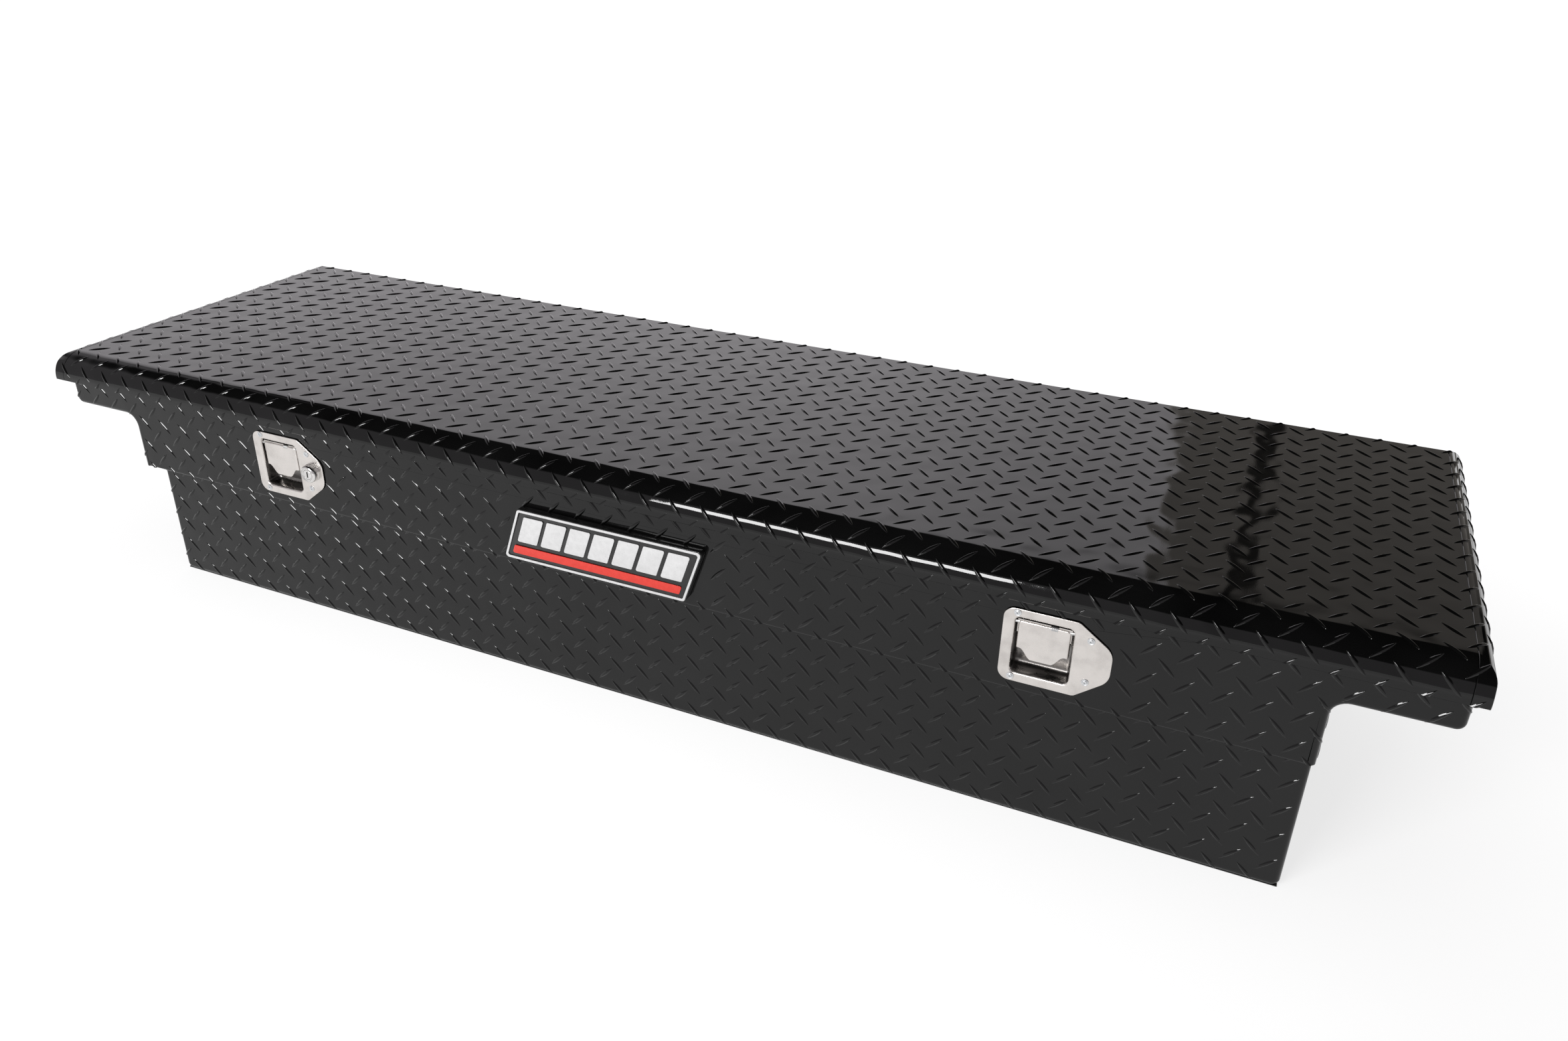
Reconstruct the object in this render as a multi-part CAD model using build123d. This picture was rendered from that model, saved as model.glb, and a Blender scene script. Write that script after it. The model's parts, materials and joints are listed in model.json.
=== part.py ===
from build123d import *
import math
import os

# Low-profile crossover tool box for a pickup bed, single lid.
# Millimetres.  +X runs along the box, +Y to the cab, -Y to the tailgate, +Z up.
# The origin is the middle of the footprint on the underside of the tub.

# ---- driving dimensions -------------------------------------------------
LENGTH = 1772.0            # over the lid
WIDTH = 508.0
HEIGHT = 330.0
SHEET = 1.6                # tread plate and body sheet

LID_SKIRT = 35.0           # lid top to the lower edge of its front and ends
LID_BACK_SKIRT = 30.0
LID_ROLL = 32.0            # outer radius of the rolled front edge
LID_END_BEND = 14.0
LID_BACK_BEND = 3.0

FRONT_INSET = 16.0         # lid front to the upper front panel
BACK_INSET = 10.0
TUB_RECESS = 27.0          # upper front panel to the lower tub wall
WING_HALF = 877.0
TUB_HALF = 768.0
LEDGE_Z = 180.0            # where the upper panel ends and the tub steps in
SHELF_Z = 255.5            # underside of the wings, which sit on the bed rails
RIM_Z = 316.0
RIM_WIDTH = 18.0
SEAL_HEIGHT = 10.5
SEAL_WIDTH = 10.0

CLAMP_SPACING_X = 1644.0   # clamp bolt holes through the wings
CLAMP_SPACING_Y = 300.0
CLAMP_HOLE_R = 5.5

HINGE_Z = 295.8
HINGE_KNUCKLE_R = 4.2
HINGE_PIN_R = 2.0
HINGE_LENGTH = 1700.0
HINGE_PITCH = 50.0
HINGE_GAP = 0.6
LEAF = 1.5
RUNNING = 0.05             # radial clearance of a pin in its bore

PAN_WIDTH = 112.0
PAN_HEIGHT = 87.0
PAN_Z = 191.5
PAN_SHEET = 1.2
PAN_LEFT_EDGES = (-546.0, 457.0)
POCKET = (11.0, 73.0, 10.0, 77.5)   # left, right, bottom, top, from the pan's corner
POCKET_DEPTH = 22.0
GASKET = 1.0
RIVET_PLACES = ((14.0, 82.5), (14.0, 6.0), (89.0, 69.0), (89.0, 20.0))
RIVET_R = 2.0
LOCK_PLACE = (94.0, 44.5)
LOCK_HEAD_R = 12.0
LOCK_PROUD = 9.0           # lock head in front of the pan
LOCK_BARREL_R = 9.5
LOCK_BORE_R = 9.6          # hole through pan, gasket and panel
LOCK_PLUG_R = 6.5

PADDLE_WIDTH = 55.0
PADDLE_SHEET = 2.0
PADDLE_PIVOT_Z = 261.5
PADDLE_PIVOT_DEPTH = 3.0   # behind the upper panel's outer face
PADDLE_BARREL_R = 3.6
PADDLE_PIN_R = 1.9

ROTOR_Y = -200.0
ROTOR_Z = 272.0
ROTOR_REACH = 30.0
ROTOR_THICKNESS = 6.0
STRIKER_Z = 290.0
STRIKER_R = 4.0

SHAFT_Y = -192.0
SHAFT_Z = 238.0
SHAFT_R = 4.0
LEVER_OFFSET = -9.0        # crank and lever beside the rotor, along X
LEVER_TOP = 246.5
LEVER_TIP_Y = -209.5

STRUT_X = 745.0
STRUT_BODY_END = (200.0, 262.0)      # Y, Z of the ball stud on the end wall
STRUT_LID_END = (-60.0, 306.0)
STRUT_TUBE_R = 9.0
STRUT_ROD_R = 4.0
STRUT_TUBE_LENGTH = 150.0
STRUT_BALL_R = 4.0
STRUT_EYE_R = 8.0

BADGE = (-151.0, 120.0, 190.0, 260.0)
BADGE_THICK = 10.0
BADGE_RELIEF = 1.2         # rim, slats and bar in front of the plate
BADGE_SLANT = 24.0

# ---- places worked out from them ----------------------------------------
HALF = LENGTH / 2
FRONT_LID = -WIDTH / 2
BACK_LID = WIDTH / 2
FRONT = FRONT_LID + FRONT_INSET      # outer face of the upper front panel
BACK = BACK_LID - BACK_INSET
TUB_FRONT = FRONT + TUB_RECESS
TUB_BACK = -TUB_FRONT
LID_INNER = HEIGHT - SHEET
HINGE_Y = BACK + HINGE_KNUCKLE_R
PIVOT_Y = FRONT + PADDLE_PIVOT_DEPTH
PAN_FACE = FRONT - GASKET - PAN_SHEET
ROTOR_X = tuple(edge + (POCKET[0] + POCKET[1]) / 2 for edge in PAN_LEFT_EDGES)
SIDES = ("left", "right")

PARTS = {}


def block(x0, x1, y0, y1, z0, z1):
    """Box between two corners."""
    size = (x1 - x0, y1 - y0, z1 - z0)
    centre = ((x0 + x1) / 2, (y0 + y1) / 2, (z0 + z1) / 2)
    return Pos(*centre) * Box(*size)


def along_x(points, x0, x1):
    """Prism with a (Y, Z) outline, from x0 to x1."""
    return extrude(Plane.YZ.offset(x0) * Polygon(*points, align=None), x1 - x0, dir=(1, 0, 0))


def along_y(outline, y0, y1):
    """Prism with an (X, Z) outline, from y0 back to y1."""
    return extrude(Plane.XZ.offset(-y1) * outline, y1 - y0, dir=(0, -1, 0))


def bar_x(x0, x1, y, z, radius):
    """Round bar along X."""
    return extrude(Plane.YZ.offset(x0) * Pos(y, z) * Circle(radius), x1 - x0)


def bar_y(y0, y1, x, z, radius):
    """Round bar along Y."""
    return along_y(Pos(x, z) * Circle(radius), y0, y1)


def rounded(points, radii):
    """Face with the given corners, each rounded by its own radius (0 leaves it sharp)."""
    face = Polygon(*points, align=None)
    for (x, y), radius in zip(points, radii):
        if radius > 0:
            corner = face.vertices().sort_by_distance((x, y, 0))[0]
            face = fillet(corner, radius)
    return face


def keep(name, shape):
    """Store one named piece."""
    PARTS[name] = shape


# ---- lid -----------------------------------------------------------------
def lid_body(inset):
    """Solid under the lid sheet's outer face, shrunk by inset."""
    front, back = FRONT_LID + inset, BACK_LID - inset
    top, half = HEIGHT - inset, HALF - inset
    low = HEIGHT - LID_SKIRT
    section = rounded(
        ((front, low), (back, low), (back, top), (front, top)),
        (0, 0, LID_BACK_BEND - inset, LID_ROLL - inset))
    ends = rounded(
        ((-half, low), (half, low), (half, top), (-half, top)),
        (0, 0, LID_END_BEND - inset, LID_END_BEND - inset))
    across = extrude(Plane.YZ.offset(-half) * section, 2 * half, dir=(1, 0, 0))
    return across & along_y(ends, front, back)


def make_lid():
    shell = lid_body(0) - lid_body(SHEET)
    low = HEIGHT - LID_SKIRT
    shell -= block(-HALF, HALF, BACK_LID - LID_BACK_BEND, BACK_LID + 1, low - 1, HEIGHT - LID_BACK_SKIRT)
    end = HALF - LID_END_BEND
    keep("lid_skin", shell & block(-end, end, -WIDTH, WIDTH, 0, HEIGHT))
    keep("lid_end_left", shell & block(-HALF, -end, -WIDTH, WIDTH, 0, HEIGHT))
    keep("lid_end_right", shell & block(end, HALF, -WIDTH, WIDTH, 0, HEIGHT))

    channels = []
    for y in (-110.0, 120.0):
        drop, web, foot, gauge = 17.0, 22.0, 16.0, 1.2
        outline = (
            (y - web - foot, LID_INNER), (y - web - foot, LID_INNER - gauge), (y - web, LID_INNER - gauge),
            (y - web, LID_INNER - drop), (y + web, LID_INNER - drop), (y + web, LID_INNER - gauge),
            (y + web + foot, LID_INNER - gauge), (y + web + foot, LID_INNER), (y + web - gauge, LID_INNER),
            (y + web - gauge, LID_INNER - drop + gauge), (y - web + gauge, LID_INNER - drop + gauge),
            (y - web + gauge, LID_INNER))
        channels.append(along_x(outline, -700, 700))
    keep("lid_channels", Compound(children=channels))

    for side, x in zip(SIDES, ROTOR_X):
        legs = Part()
        for out in (-1, 1):
            legs += along_x(
                ((ROTOR_Y - 6, STRIKER_Z - 6), (ROTOR_Y + 6, STRIKER_Z - 6),
                 (ROTOR_Y + 6, LID_INNER - 2), (ROTOR_Y - 6, LID_INNER - 2)),
                x + out * 9 - 2, x + out * 9 + 2)
        plate = block(x - 26, x + 26, ROTOR_Y - 9, ROTOR_Y + 14, LID_INNER - 2, LID_INNER)
        keep(f"striker_{side}", legs + plate + bar_x(x - 11, x + 11, ROTOR_Y, STRIKER_Z, STRIKER_R))


# ---- tub, panels and wings -------------------------------------------------
def make_tub():
    inner = TUB_HALF - SHEET
    keep("tub_floor", block(-inner, inner, TUB_FRONT + SHEET, TUB_BACK - SHEET, 0, SHEET))
    for name, face, panel in (("tub_front_wall", TUB_FRONT, FRONT), ("tub_back_wall", TUB_BACK, BACK)):
        out = -1 if face < 0 else 1
        lip = panel - out * SHEET
        outline = (
            (face, 0), (face - out * SHEET, 0), (face - out * SHEET, LEDGE_Z + SHEET),
            (lip, LEDGE_Z + SHEET), (lip, LEDGE_Z), (face, LEDGE_Z))
        keep(name, along_x(outline, -inner, inner))
    for side, out in zip(SIDES, (-1, 1)):
        outline = (
            (TUB_FRONT, 0), (TUB_BACK, 0), (TUB_BACK, LEDGE_Z), (BACK - SHEET, LEDGE_Z),
            (BACK - SHEET, SHELF_Z + SHEET), (FRONT + SHEET, SHELF_Z + SHEET),
            (FRONT + SHEET, LEDGE_Z), (TUB_FRONT, LEDGE_Z))
        x0, x1 = sorted((out * inner, out * TUB_HALF))
        keep(f"tub_end_{side}", along_x(outline, x0, x1))


def panel_outline():
    """Tee shape of the upper panels: wings at the top, the saddle leg below."""
    corners = (
        (-WING_HALF, RIM_Z), (-WING_HALF, SHELF_Z), (-TUB_HALF, SHELF_Z), (-TUB_HALF, LEDGE_Z),
        (TUB_HALF, LEDGE_Z), (TUB_HALF, SHELF_Z), (WING_HALF, SHELF_Z), (WING_HALF, RIM_Z))
    return rounded(corners, (0, 8, 9, 2, 2, 9, 8, 0))


def make_panels():
    front = along_y(panel_outline(), FRONT, FRONT + SHEET)
    for edge in PAN_LEFT_EDGES:
        left, right, low, high = POCKET
        front -= block(edge + left - 1, edge + right + 1, FRONT - 1, FRONT + 3, PAN_Z + low - 1, PAN_Z + high + 1)
        for u, v in RIVET_PLACES:
            front -= bar_y(FRONT - 1, FRONT + 3, edge + u, PAN_Z + v, RIVET_R + RUNNING)
    front -= bar_y(FRONT - 1, FRONT + 3, PAN_LEFT_EDGES[0] + LOCK_PLACE[0], PAN_Z + LOCK_PLACE[1], LOCK_BORE_R)
    keep("front_upper_panel", front)
    keep("back_upper_panel", along_y(panel_outline(), BACK - SHEET, BACK))


def make_wings():
    y0, y1 = FRONT + SHEET, BACK - SHEET
    for side, out in zip(SIDES, (-1, 1)):
        tip = WING_HALF - SHEET
        x0, x1 = sorted((out * TUB_HALF, out * tip))
        shelf = block(x0, x1, y0, y1, SHELF_Z, SHELF_Z + SHEET)
        for y in (-CLAMP_SPACING_Y / 2, CLAMP_SPACING_Y / 2):
            shelf -= Pos(out * CLAMP_SPACING_X / 2, y, SHELF_Z) * Cylinder(CLAMP_HOLE_R, 10)
        keep(f"wing_shelf_{side}", shelf)
        x0, x1 = sorted((out * tip, out * WING_HALF))
        keep(f"wing_end_{side}", block(x0, x1, y0, y1, SHELF_Z, RIM_Z))


def ring(inset, width, z0, z1, corner):
    """Flat rectangular ring inside the rim."""
    faces = []
    for offset, radius in ((inset, corner), (inset + width, max(corner - width, 0.5))):
        y0, y1 = FRONT + SHEET + offset, BACK - SHEET - offset
        length = 2 * (WING_HALF - SHEET - offset)
        faces.append(Pos(0, (y0 + y1) / 2) * RectangleRounded(length, y1 - y0, radius))
    return extrude(Plane.XY.offset(z0) * (faces[0] - faces[1]), z1 - z0)


def make_rim():
    x1 = WING_HALF - SHEET
    y0, y1 = FRONT + SHEET, BACK - SHEET
    z0, z1 = RIM_Z - SHEET, RIM_Z
    rails = [
        block(-x1, x1, y0, y0 + RIM_WIDTH, z0, z1), block(-x1, x1, y1 - RIM_WIDTH, y1, z0, z1),
        block(-x1, -x1 + RIM_WIDTH, y0 + RIM_WIDTH, y1 - RIM_WIDTH, z0, z1),
        block(x1 - RIM_WIDTH, x1, y0 + RIM_WIDTH, y1 - RIM_WIDTH, z0, z1)]
    keep("rim_rails", Compound(children=rails))
    keep("weather_seal", ring(6.4, SEAL_WIDTH, RIM_Z, RIM_Z + SEAL_HEIGHT, 16))


# ---- piano hinge ------------------------------------------------------------
def make_hinge():
    start = -HINGE_LENGTH / 2
    turns = int(HINGE_LENGTH / HINGE_PITCH)
    body = block(start, -start, BACK, BACK + LEAF, HINGE_Z - 24, HINGE_Z)
    inner = BACK_LID - SHEET
    lid = block(start, -start, inner - LEAF, inner, HINGE_Z, HINGE_Z + 20)
    gaps = []
    for index in range(turns):
        x0 = start + index * HINGE_PITCH + HINGE_GAP / 2
        x1 = x0 + HINGE_PITCH - HINGE_GAP
        knuckle = bar_x(x0, x1, HINGE_Y, HINGE_Z, HINGE_KNUCKLE_R)
        relief = block(
            x0 - HINGE_GAP, x1 + HINGE_GAP, HINGE_Y - 5.2, HINGE_Y + 5.2, HINGE_Z - 4.7, HINGE_Z + 4.7)
        gaps.append((knuckle, relief))
    for index, (knuckle, relief) in enumerate(gaps):
        if index % 2:
            body -= relief
            lid += knuckle
        else:
            lid -= relief
            body += knuckle
    bore = bar_x(start - 1, 1 - start, HINGE_Y, HINGE_Z, HINGE_PIN_R + RUNNING)
    keep("hinge_body_leaf", body - bore)
    keep("hinge_lid_leaf", lid - bore)
    keep("hinge_pin", bar_x(start - 2, 2 - start, HINGE_Y, HINGE_Z, HINGE_PIN_R))
    body_rivets, lid_rivets = [], []
    for index in range(12):
        x = start + 75 + index * (HINGE_LENGTH - 150) / 11
        body_rivets.append(bar_y(BACK + LEAF, BACK + LEAF + 1.6, x, HINGE_Z - 15, 4))
        lid_rivets.append(bar_y(inner - LEAF - 1.6, inner - LEAF, x, HINGE_Z + 13, 4))
    keep("hinge_body_rivets", Compound(children=body_rivets))
    keep("hinge_lid_rivets", Compound(children=lid_rivets))


# ---- paddle latches -----------------------------------------------------------
def pan_outline(edge, inset):
    """Latch pan seen from the front: square-cornered left, a blunt nose to the right."""
    nose = PAN_HEIGHT / 2
    points = (
        (edge + inset, PAN_Z + inset), (edge + 79, PAN_Z + inset), (edge + PAN_WIDTH - inset, PAN_Z + nose - 17),
        (edge + PAN_WIDTH - inset, PAN_Z + nose + 17), (edge + 76, PAN_Z + PAN_HEIGHT - inset),
        (edge + inset, PAN_Z + PAN_HEIGHT - inset))
    return rounded(points, (12 - inset, 6, 17, 17, 6, 12 - inset))


def cut_rivets(shape, edge, y0, y1):
    for u, v in RIVET_PLACES:
        shape -= bar_y(y0, y1, edge + u, PAN_Z + v, RIVET_R + RUNNING)
    return shape


def make_pan(side, edge):
    left, right, low, high = POCKET
    x0, x1, z0, z1 = edge + left, edge + right, PAN_Z + low, PAN_Z + high
    back = PAN_FACE + POCKET_DEPTH
    flange = along_y(pan_outline(edge, 0), PAN_FACE, PAN_FACE + PAN_SHEET)
    cup = block(x0, x1, PAN_FACE, back, z0, z1)
    hollow = block(
        x0 + PAN_SHEET, x1 - PAN_SHEET, PAN_FACE - 1, back - PAN_SHEET, z0 + PAN_SHEET, z1 - PAN_SHEET)
    pan = flange + cup - hollow
    centre = (x0 + x1) / 2 + LEVER_OFFSET
    pan -= block(centre - 4.5, centre + 4.5, back - 3, back + 1, PADDLE_PIVOT_Z - 29, PADDLE_PIVOT_Z + 3)
    pan -= bar_x(x0 - 1, x1 + 1, PIVOT_Y, PADDLE_PIVOT_Z, PADDLE_PIN_R)
    gasket = along_y(pan_outline(edge, 1), FRONT - GASKET, FRONT)
    gasket -= block(x0, x1, FRONT - 2, FRONT + 1, z0, z1)
    pan = cut_rivets(pan, edge, PAN_FACE - 1, FRONT)
    gasket = cut_rivets(gasket, edge, FRONT - 2, FRONT + 1)
    if side == "left":
        barrel = bar_y(PAN_FACE - 1, FRONT + 1, edge + LOCK_PLACE[0], PAN_Z + LOCK_PLACE[1], LOCK_BORE_R)
        pan -= barrel
        gasket -= barrel
    keep(f"latch_pan_{side}", pan)
    keep(f"latch_gasket_{side}", gasket)
    keep(f"paddle_pin_{side}", bar_x(x0 - 0.8, x1 + 0.8, PIVOT_Y, PADDLE_PIVOT_Z, PADDLE_PIN_R))


def make_paddle(side, x):
    """Pull paddle with a wavy lower lip, two ears, a barrel and a crank to the back."""
    half = PADDLE_WIDTH / 2
    face = PAN_FACE
    lip = (
        (x - half, 229.5), (x - 19, 227.5), (x - 12, 219.5), (x + 12, 219.5), (x + 19, 227.5), (x + half, 229.5),
        (x + half, PADDLE_PIVOT_Z + 2.5), (x - half, PADDLE_PIVOT_Z + 2.5))
    plate = along_y(rounded(lip, (3, 6, 6, 6, 6, 3, 1.5, 1.5)), face, face + PADDLE_SHEET)
    ears = Part()
    for out in (-1, 1):
        edge = x + out * (half - 1)
        ears += along_x(
            ((face + 1, 240), (PIVOT_Y + 2, PADDLE_PIVOT_Z - 3), (PIVOT_Y + 2, PADDLE_PIVOT_Z + 2),
             (face + 1, PADDLE_PIVOT_Z + 2)), edge - 1, edge + 1)
    barrel = bar_x(x - half, x + half, PIVOT_Y, PADDLE_PIVOT_Z, PADDLE_BARREL_R)
    barrel -= bar_x(x + 6, x + 14, PIVOT_Y, PADDLE_PIVOT_Z, PADDLE_BARREL_R + 1)
    crank_x = x + LEVER_OFFSET
    crank = along_x(
        ((PIVOT_Y, PADDLE_PIVOT_Z + 2.5), (PIVOT_Y, PADDLE_PIVOT_Z - 3.3), (-208, 249), (-204.5, 249),
         (-204.5, 253)), crank_x - 2.5, crank_x + 2.5)
    bore = bar_x(x - half - 1, x + half + 1, PIVOT_Y, PADDLE_PIVOT_Z, PADDLE_PIN_R + RUNNING)
    keep(f"paddle_{side}", plate + ears + barrel + crank - bore)


def spring(x, y, z, inner, wire, turns, length):
    """Close-wound torsion spring along X, as a plain coil of stacked rings."""
    coils = []
    pitch = length / turns
    for index in range(turns):
        centre = x - length / 2 + (index + 0.5) * pitch
        coils.append(Location((centre, y, z), (0, 90, 0)) * Torus(inner + wire / 2, wire / 2))
    return coils


def make_rotor(side, x):
    """Hook that swings over the striker, on a pin between two housing plates."""
    def at(radius, degrees):
        angle = math.radians(degrees)
        return (ROTOR_Y + radius * math.sin(angle), ROTOR_Z + radius * math.cos(angle))

    first, last, web = 45.0, 115.0, 92.0
    plane = Plane.YZ.offset(x - ROTOR_THICKNESS / 2)
    inner = ROTOR_REACH - 7
    middle = (first + last) / 2
    edge = (
        ThreePointArc(at(ROTOR_REACH, first), at(ROTOR_REACH, middle), at(ROTOR_REACH, last)),
        Line(at(ROTOR_REACH, last), at(6, last)),
        Line(at(6, last), at(6, web - 25)),
        Line(at(6, web - 25), at(inner, web)),
        ThreePointArc(at(inner, web), at(inner, (first + web) / 2), at(inner, first)),
        Line(at(inner, first), at(ROTOR_REACH, first)))
    hook = extrude(plane * make_face(edge), ROTOR_THICKNESS, dir=(1, 0, 0))
    x0, x1 = x - ROTOR_THICKNESS / 2, x + ROTOR_THICKNESS / 2
    hub = bar_x(x0, x1, ROTOR_Y, ROTOR_Z, 9)
    keep(f"rotor_{side}", hook + hub - bar_x(x0 - 1, x1 + 1, ROTOR_Y, ROTOR_Z, 3 + RUNNING))


def make_housing(side, x):
    front = FRONT + SHEET
    outline = (
        (front, 272), (front, 302), (-174, 302), (-174, 226), (-212, 226), (-212, 272))
    cheeks = Part()
    for out in (-1, 1):
        edge = x + out * 16
        cheeks += along_x(outline, edge - 1, edge + 1)
    plate = block(x - 24, x + 24, front, front + 2, 272, 302)
    housing = cheeks + plate
    housing -= bar_x(x - 20, x + 20, ROTOR_Y, ROTOR_Z, 3)
    housing -= bar_x(x - 20, x + 20, SHAFT_Y, SHAFT_Z, SHAFT_R + 2)
    keep(f"latch_housing_{side}", housing)


def make_latches():
    rivets, pins, bushes, paddle_springs, rotor_springs = [], [], [], [], []
    for side, edge, x in zip(SIDES, PAN_LEFT_EDGES, ROTOR_X):
        make_pan(side, edge)
        make_paddle(side, x)
        make_rotor(side, x)
        make_housing(side, x)
        for u, v in RIVET_PLACES:
            head = bar_y(PAN_FACE - 1.6, PAN_FACE, edge + u, PAN_Z + v, 3.6)
            tail = bar_y(FRONT + SHEET, FRONT + SHEET + 2, edge + u, PAN_Z + v, 3)
            rivets.append(head + bar_y(PAN_FACE, FRONT + SHEET, edge + u, PAN_Z + v, RIVET_R) + tail)
        pins.append(bar_x(x - 19, x + 19, ROTOR_Y, ROTOR_Z, 3))
        for out in (-1, 1):
            edge_x = x + out * 16
            ring_x = bar_x(edge_x - 2, edge_x + 2, SHAFT_Y, SHAFT_Z, SHAFT_R + 2)
            bushes.append(ring_x - bar_x(edge_x - 3, edge_x + 3, SHAFT_Y, SHAFT_Z, SHAFT_R + RUNNING))
        coils = spring(x + 10, PIVOT_Y, PADDLE_PIVOT_Z, 2.1, 0.9, 7, 7.0)
        paddle_springs.extend(coils)
        rotor_springs.extend(spring(x - 10, ROTOR_Y, ROTOR_Z, 3.4, 1.6, 5, 9))
    keep("latch_rivets", Compound(children=rivets))
    keep("rotor_pins", Compound(children=pins))
    keep("shaft_bushes", Compound(children=bushes))
    keep("paddle_springs", Compound(children=paddle_springs))
    keep("rotor_springs", Compound(children=rotor_springs))


def make_release_shaft():
    """Cross shaft that ties the two latches together, with a lever and a pawl at each."""
    keep("release_shaft", bar_x(ROTOR_X[0] - 28, ROTOR_X[1] + 28, SHAFT_Y, SHAFT_Z, SHAFT_R))
    for side, x in zip(SIDES, ROTOR_X):
        bore = bar_x(x - 20, x + 20, SHAFT_Y, SHAFT_Z, SHAFT_R)
        lever_x = x + LEVER_OFFSET
        lever = along_x(
            ((SHAFT_Y, SHAFT_Z + 7), (SHAFT_Y - 12, LEVER_TOP), (LEVER_TIP_Y, LEVER_TOP),
             (LEVER_TIP_Y, LEVER_TOP - 3.5), (SHAFT_Y - 5, SHAFT_Z - 5)),
            lever_x - 2.5, lever_x + 2.5)
        pawl = along_x(
            ((SHAFT_Y + 5, SHAFT_Z), (SHAFT_Y - 1, 260), (SHAFT_Y - 6, 260), (SHAFT_Y - 6, SHAFT_Z)),
            x - 2.5, x + 2.5)
        sleeve = bar_x(x - 12, x + 6, SHAFT_Y, SHAFT_Z, 7)
        keep(f"release_lever_{side}", sleeve + lever + pawl - bore)


def make_lock():
    x, z = PAN_LEFT_EDGES[0] + LOCK_PLACE[0], PAN_Z + LOCK_PLACE[1]
    face, barrel_end, cam_back = PAN_FACE - LOCK_PROUD, -216, -210
    cam_face = cam_back - 3
    head = bar_y(face, PAN_FACE, x, z, LOCK_HEAD_R)
    barrel = bar_y(PAN_FACE - 1, barrel_end, x, z, LOCK_BARREL_R)
    keep("lock_body", head + barrel - bar_y(face - 1, barrel_end + 1, x, z, LOCK_PLUG_R + RUNNING))
    plug = bar_y(face + 0.4, cam_face, x, z, LOCK_PLUG_R)
    keep("lock_plug", plug - block(x - 1, x + 1, face, face + 7, z - 3.8, z + 3.8))
    cam = rounded(((x - 8, z - 24), (x + 8, z - 24), (x + 8, z + 8), (x - 8, z + 8)), (5, 5, 7, 7))
    keep("lock_cam", along_y(cam, cam_face, cam_back))
    nut = along_y(Pos(x, z) * RegularPolygon(13, 6, major_radius=False), FRONT + SHEET, FRONT + SHEET + 5)
    keep("lock_nut", nut - bar_y(FRONT, FRONT + 13, x, z, LOCK_BARREL_R))


# ---- gas struts ------------------------------------------------------------------
def make_struts():
    dy, dz = (STRUT_LID_END[0] - STRUT_BODY_END[0], STRUT_LID_END[1] - STRUT_BODY_END[1])
    span = math.hypot(dy, dz)
    lift = math.degrees(math.atan2(dz, dy))
    body_studs, lid_studs = [], []
    for side, out in zip(SIDES, (-1, 1)):
        x = out * STRUT_X
        place = Location((x, *STRUT_BODY_END), (lift, 0, 0))

        def stage(y0, y1, radius):
            return place * bar_y(y0, y1, 0, 0, radius)

        eye = bar_x(-5, 5, 0, 0, STRUT_EYE_R)
        eye_start, eye_end = STRUT_EYE_R - 1, span - STRUT_EYE_R + 1
        tube = stage(eye_start, 20, 5) + stage(18, 18 + STRUT_TUBE_LENGTH, STRUT_TUBE_R) + place * eye
        tube -= place * bar_x(-6, 6, 0, 0, STRUT_BALL_R + RUNNING)
        tube -= stage(24, 20 + STRUT_TUBE_LENGTH, STRUT_ROD_R + RUNNING)
        keep(f"strut_tube_{side}", tube)
        rod = stage(30, eye_end, STRUT_ROD_R) + stage(span - 20, eye_end, 5) + place * Pos(0, span, 0) * eye
        rod -= place * Pos(0, span, 0) * bar_x(-6, 6, 0, 0, STRUT_BALL_R + 0.3)
        keep(f"strut_rod_{side}", rod)

        wall = TUB_HALF - SHEET
        plate = sorted((out * (wall - 2), out * wall))
        ball = sorted((out * (STRUT_X - 6), out * (wall - 2)))
        y, z = STRUT_BODY_END
        stud = bar_x(*ball, y, z, STRUT_BALL_R) + block(*plate, y - 16, y + 16, z - 18, SHELF_Z)
        body_studs.append(stud + block(*plate, y - 6, y + 6, SHELF_Z - 1, z + 6))

        hang = sorted((out * (STRUT_X + 7), out * (STRUT_X + 9)))
        flange = sorted((out * (STRUT_X + 7), out * (STRUT_X + 30)))
        ball = sorted((out * (STRUT_X + 5.5), out * (STRUT_X + 7)))
        y, z = STRUT_LID_END
        stud = bar_x(*ball, y, z, STRUT_BALL_R - 0.5)
        stud += block(*hang, y - 14, y + 14, z - 7, LID_INNER)
        lid_studs.append(stud + block(*flange, y - 14, y + 14, LID_INNER - 2, LID_INNER))
    keep("strut_body_studs", Compound(children=body_studs))
    keep("strut_lid_studs", Compound(children=lid_studs))


# ---- plain badge -------------------------------------------------------------------
def make_badge():
    """Unmarked name-plate: a slanted plate with raised slats and a coloured bar."""
    x0, x1, z0, z1 = BADGE
    lean = BADGE_SLANT / (z1 - z0)

    def slanted(left, right, low, high, radius):
        points = (
            (left + lean * (low - z0), low), (right + lean * (low - z0), low),
            (right + lean * (high - z0), high), (left + lean * (high - z0), high))
        return rounded(points, (radius,) * 4)

    right = x1 - BADGE_SLANT
    face = FRONT - BADGE_THICK
    keep("badge_plate", along_y(slanted(x0, right, z0, z1, 5), face, FRONT))
    rim = slanted(x0 + 1, right - 1, z0 + 1, z1 - 1, 4) - slanted(x0 + 4, right - 4, z0 + 4, z1 - 4, 2.5)
    keep("badge_rim", along_y(rim, face - BADGE_RELIEF, face))
    slats = []
    count = 7
    width = (right - x0 - 20) / count
    for index in range(count):
        left = x0 + 10 + index * width
        slat = slanted(left + 2.5, left + width - 2.5, z0 + 26, z1 - 9, 2)
        slats.append(along_y(slat, face - BADGE_RELIEF, face))
    keep("badge_slats", Compound(children=slats))
    keep("badge_bar", along_y(slanted(x0 + 10, right - 10, z0 + 9, z0 + 20, 2), face - BADGE_RELIEF, face))


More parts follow.
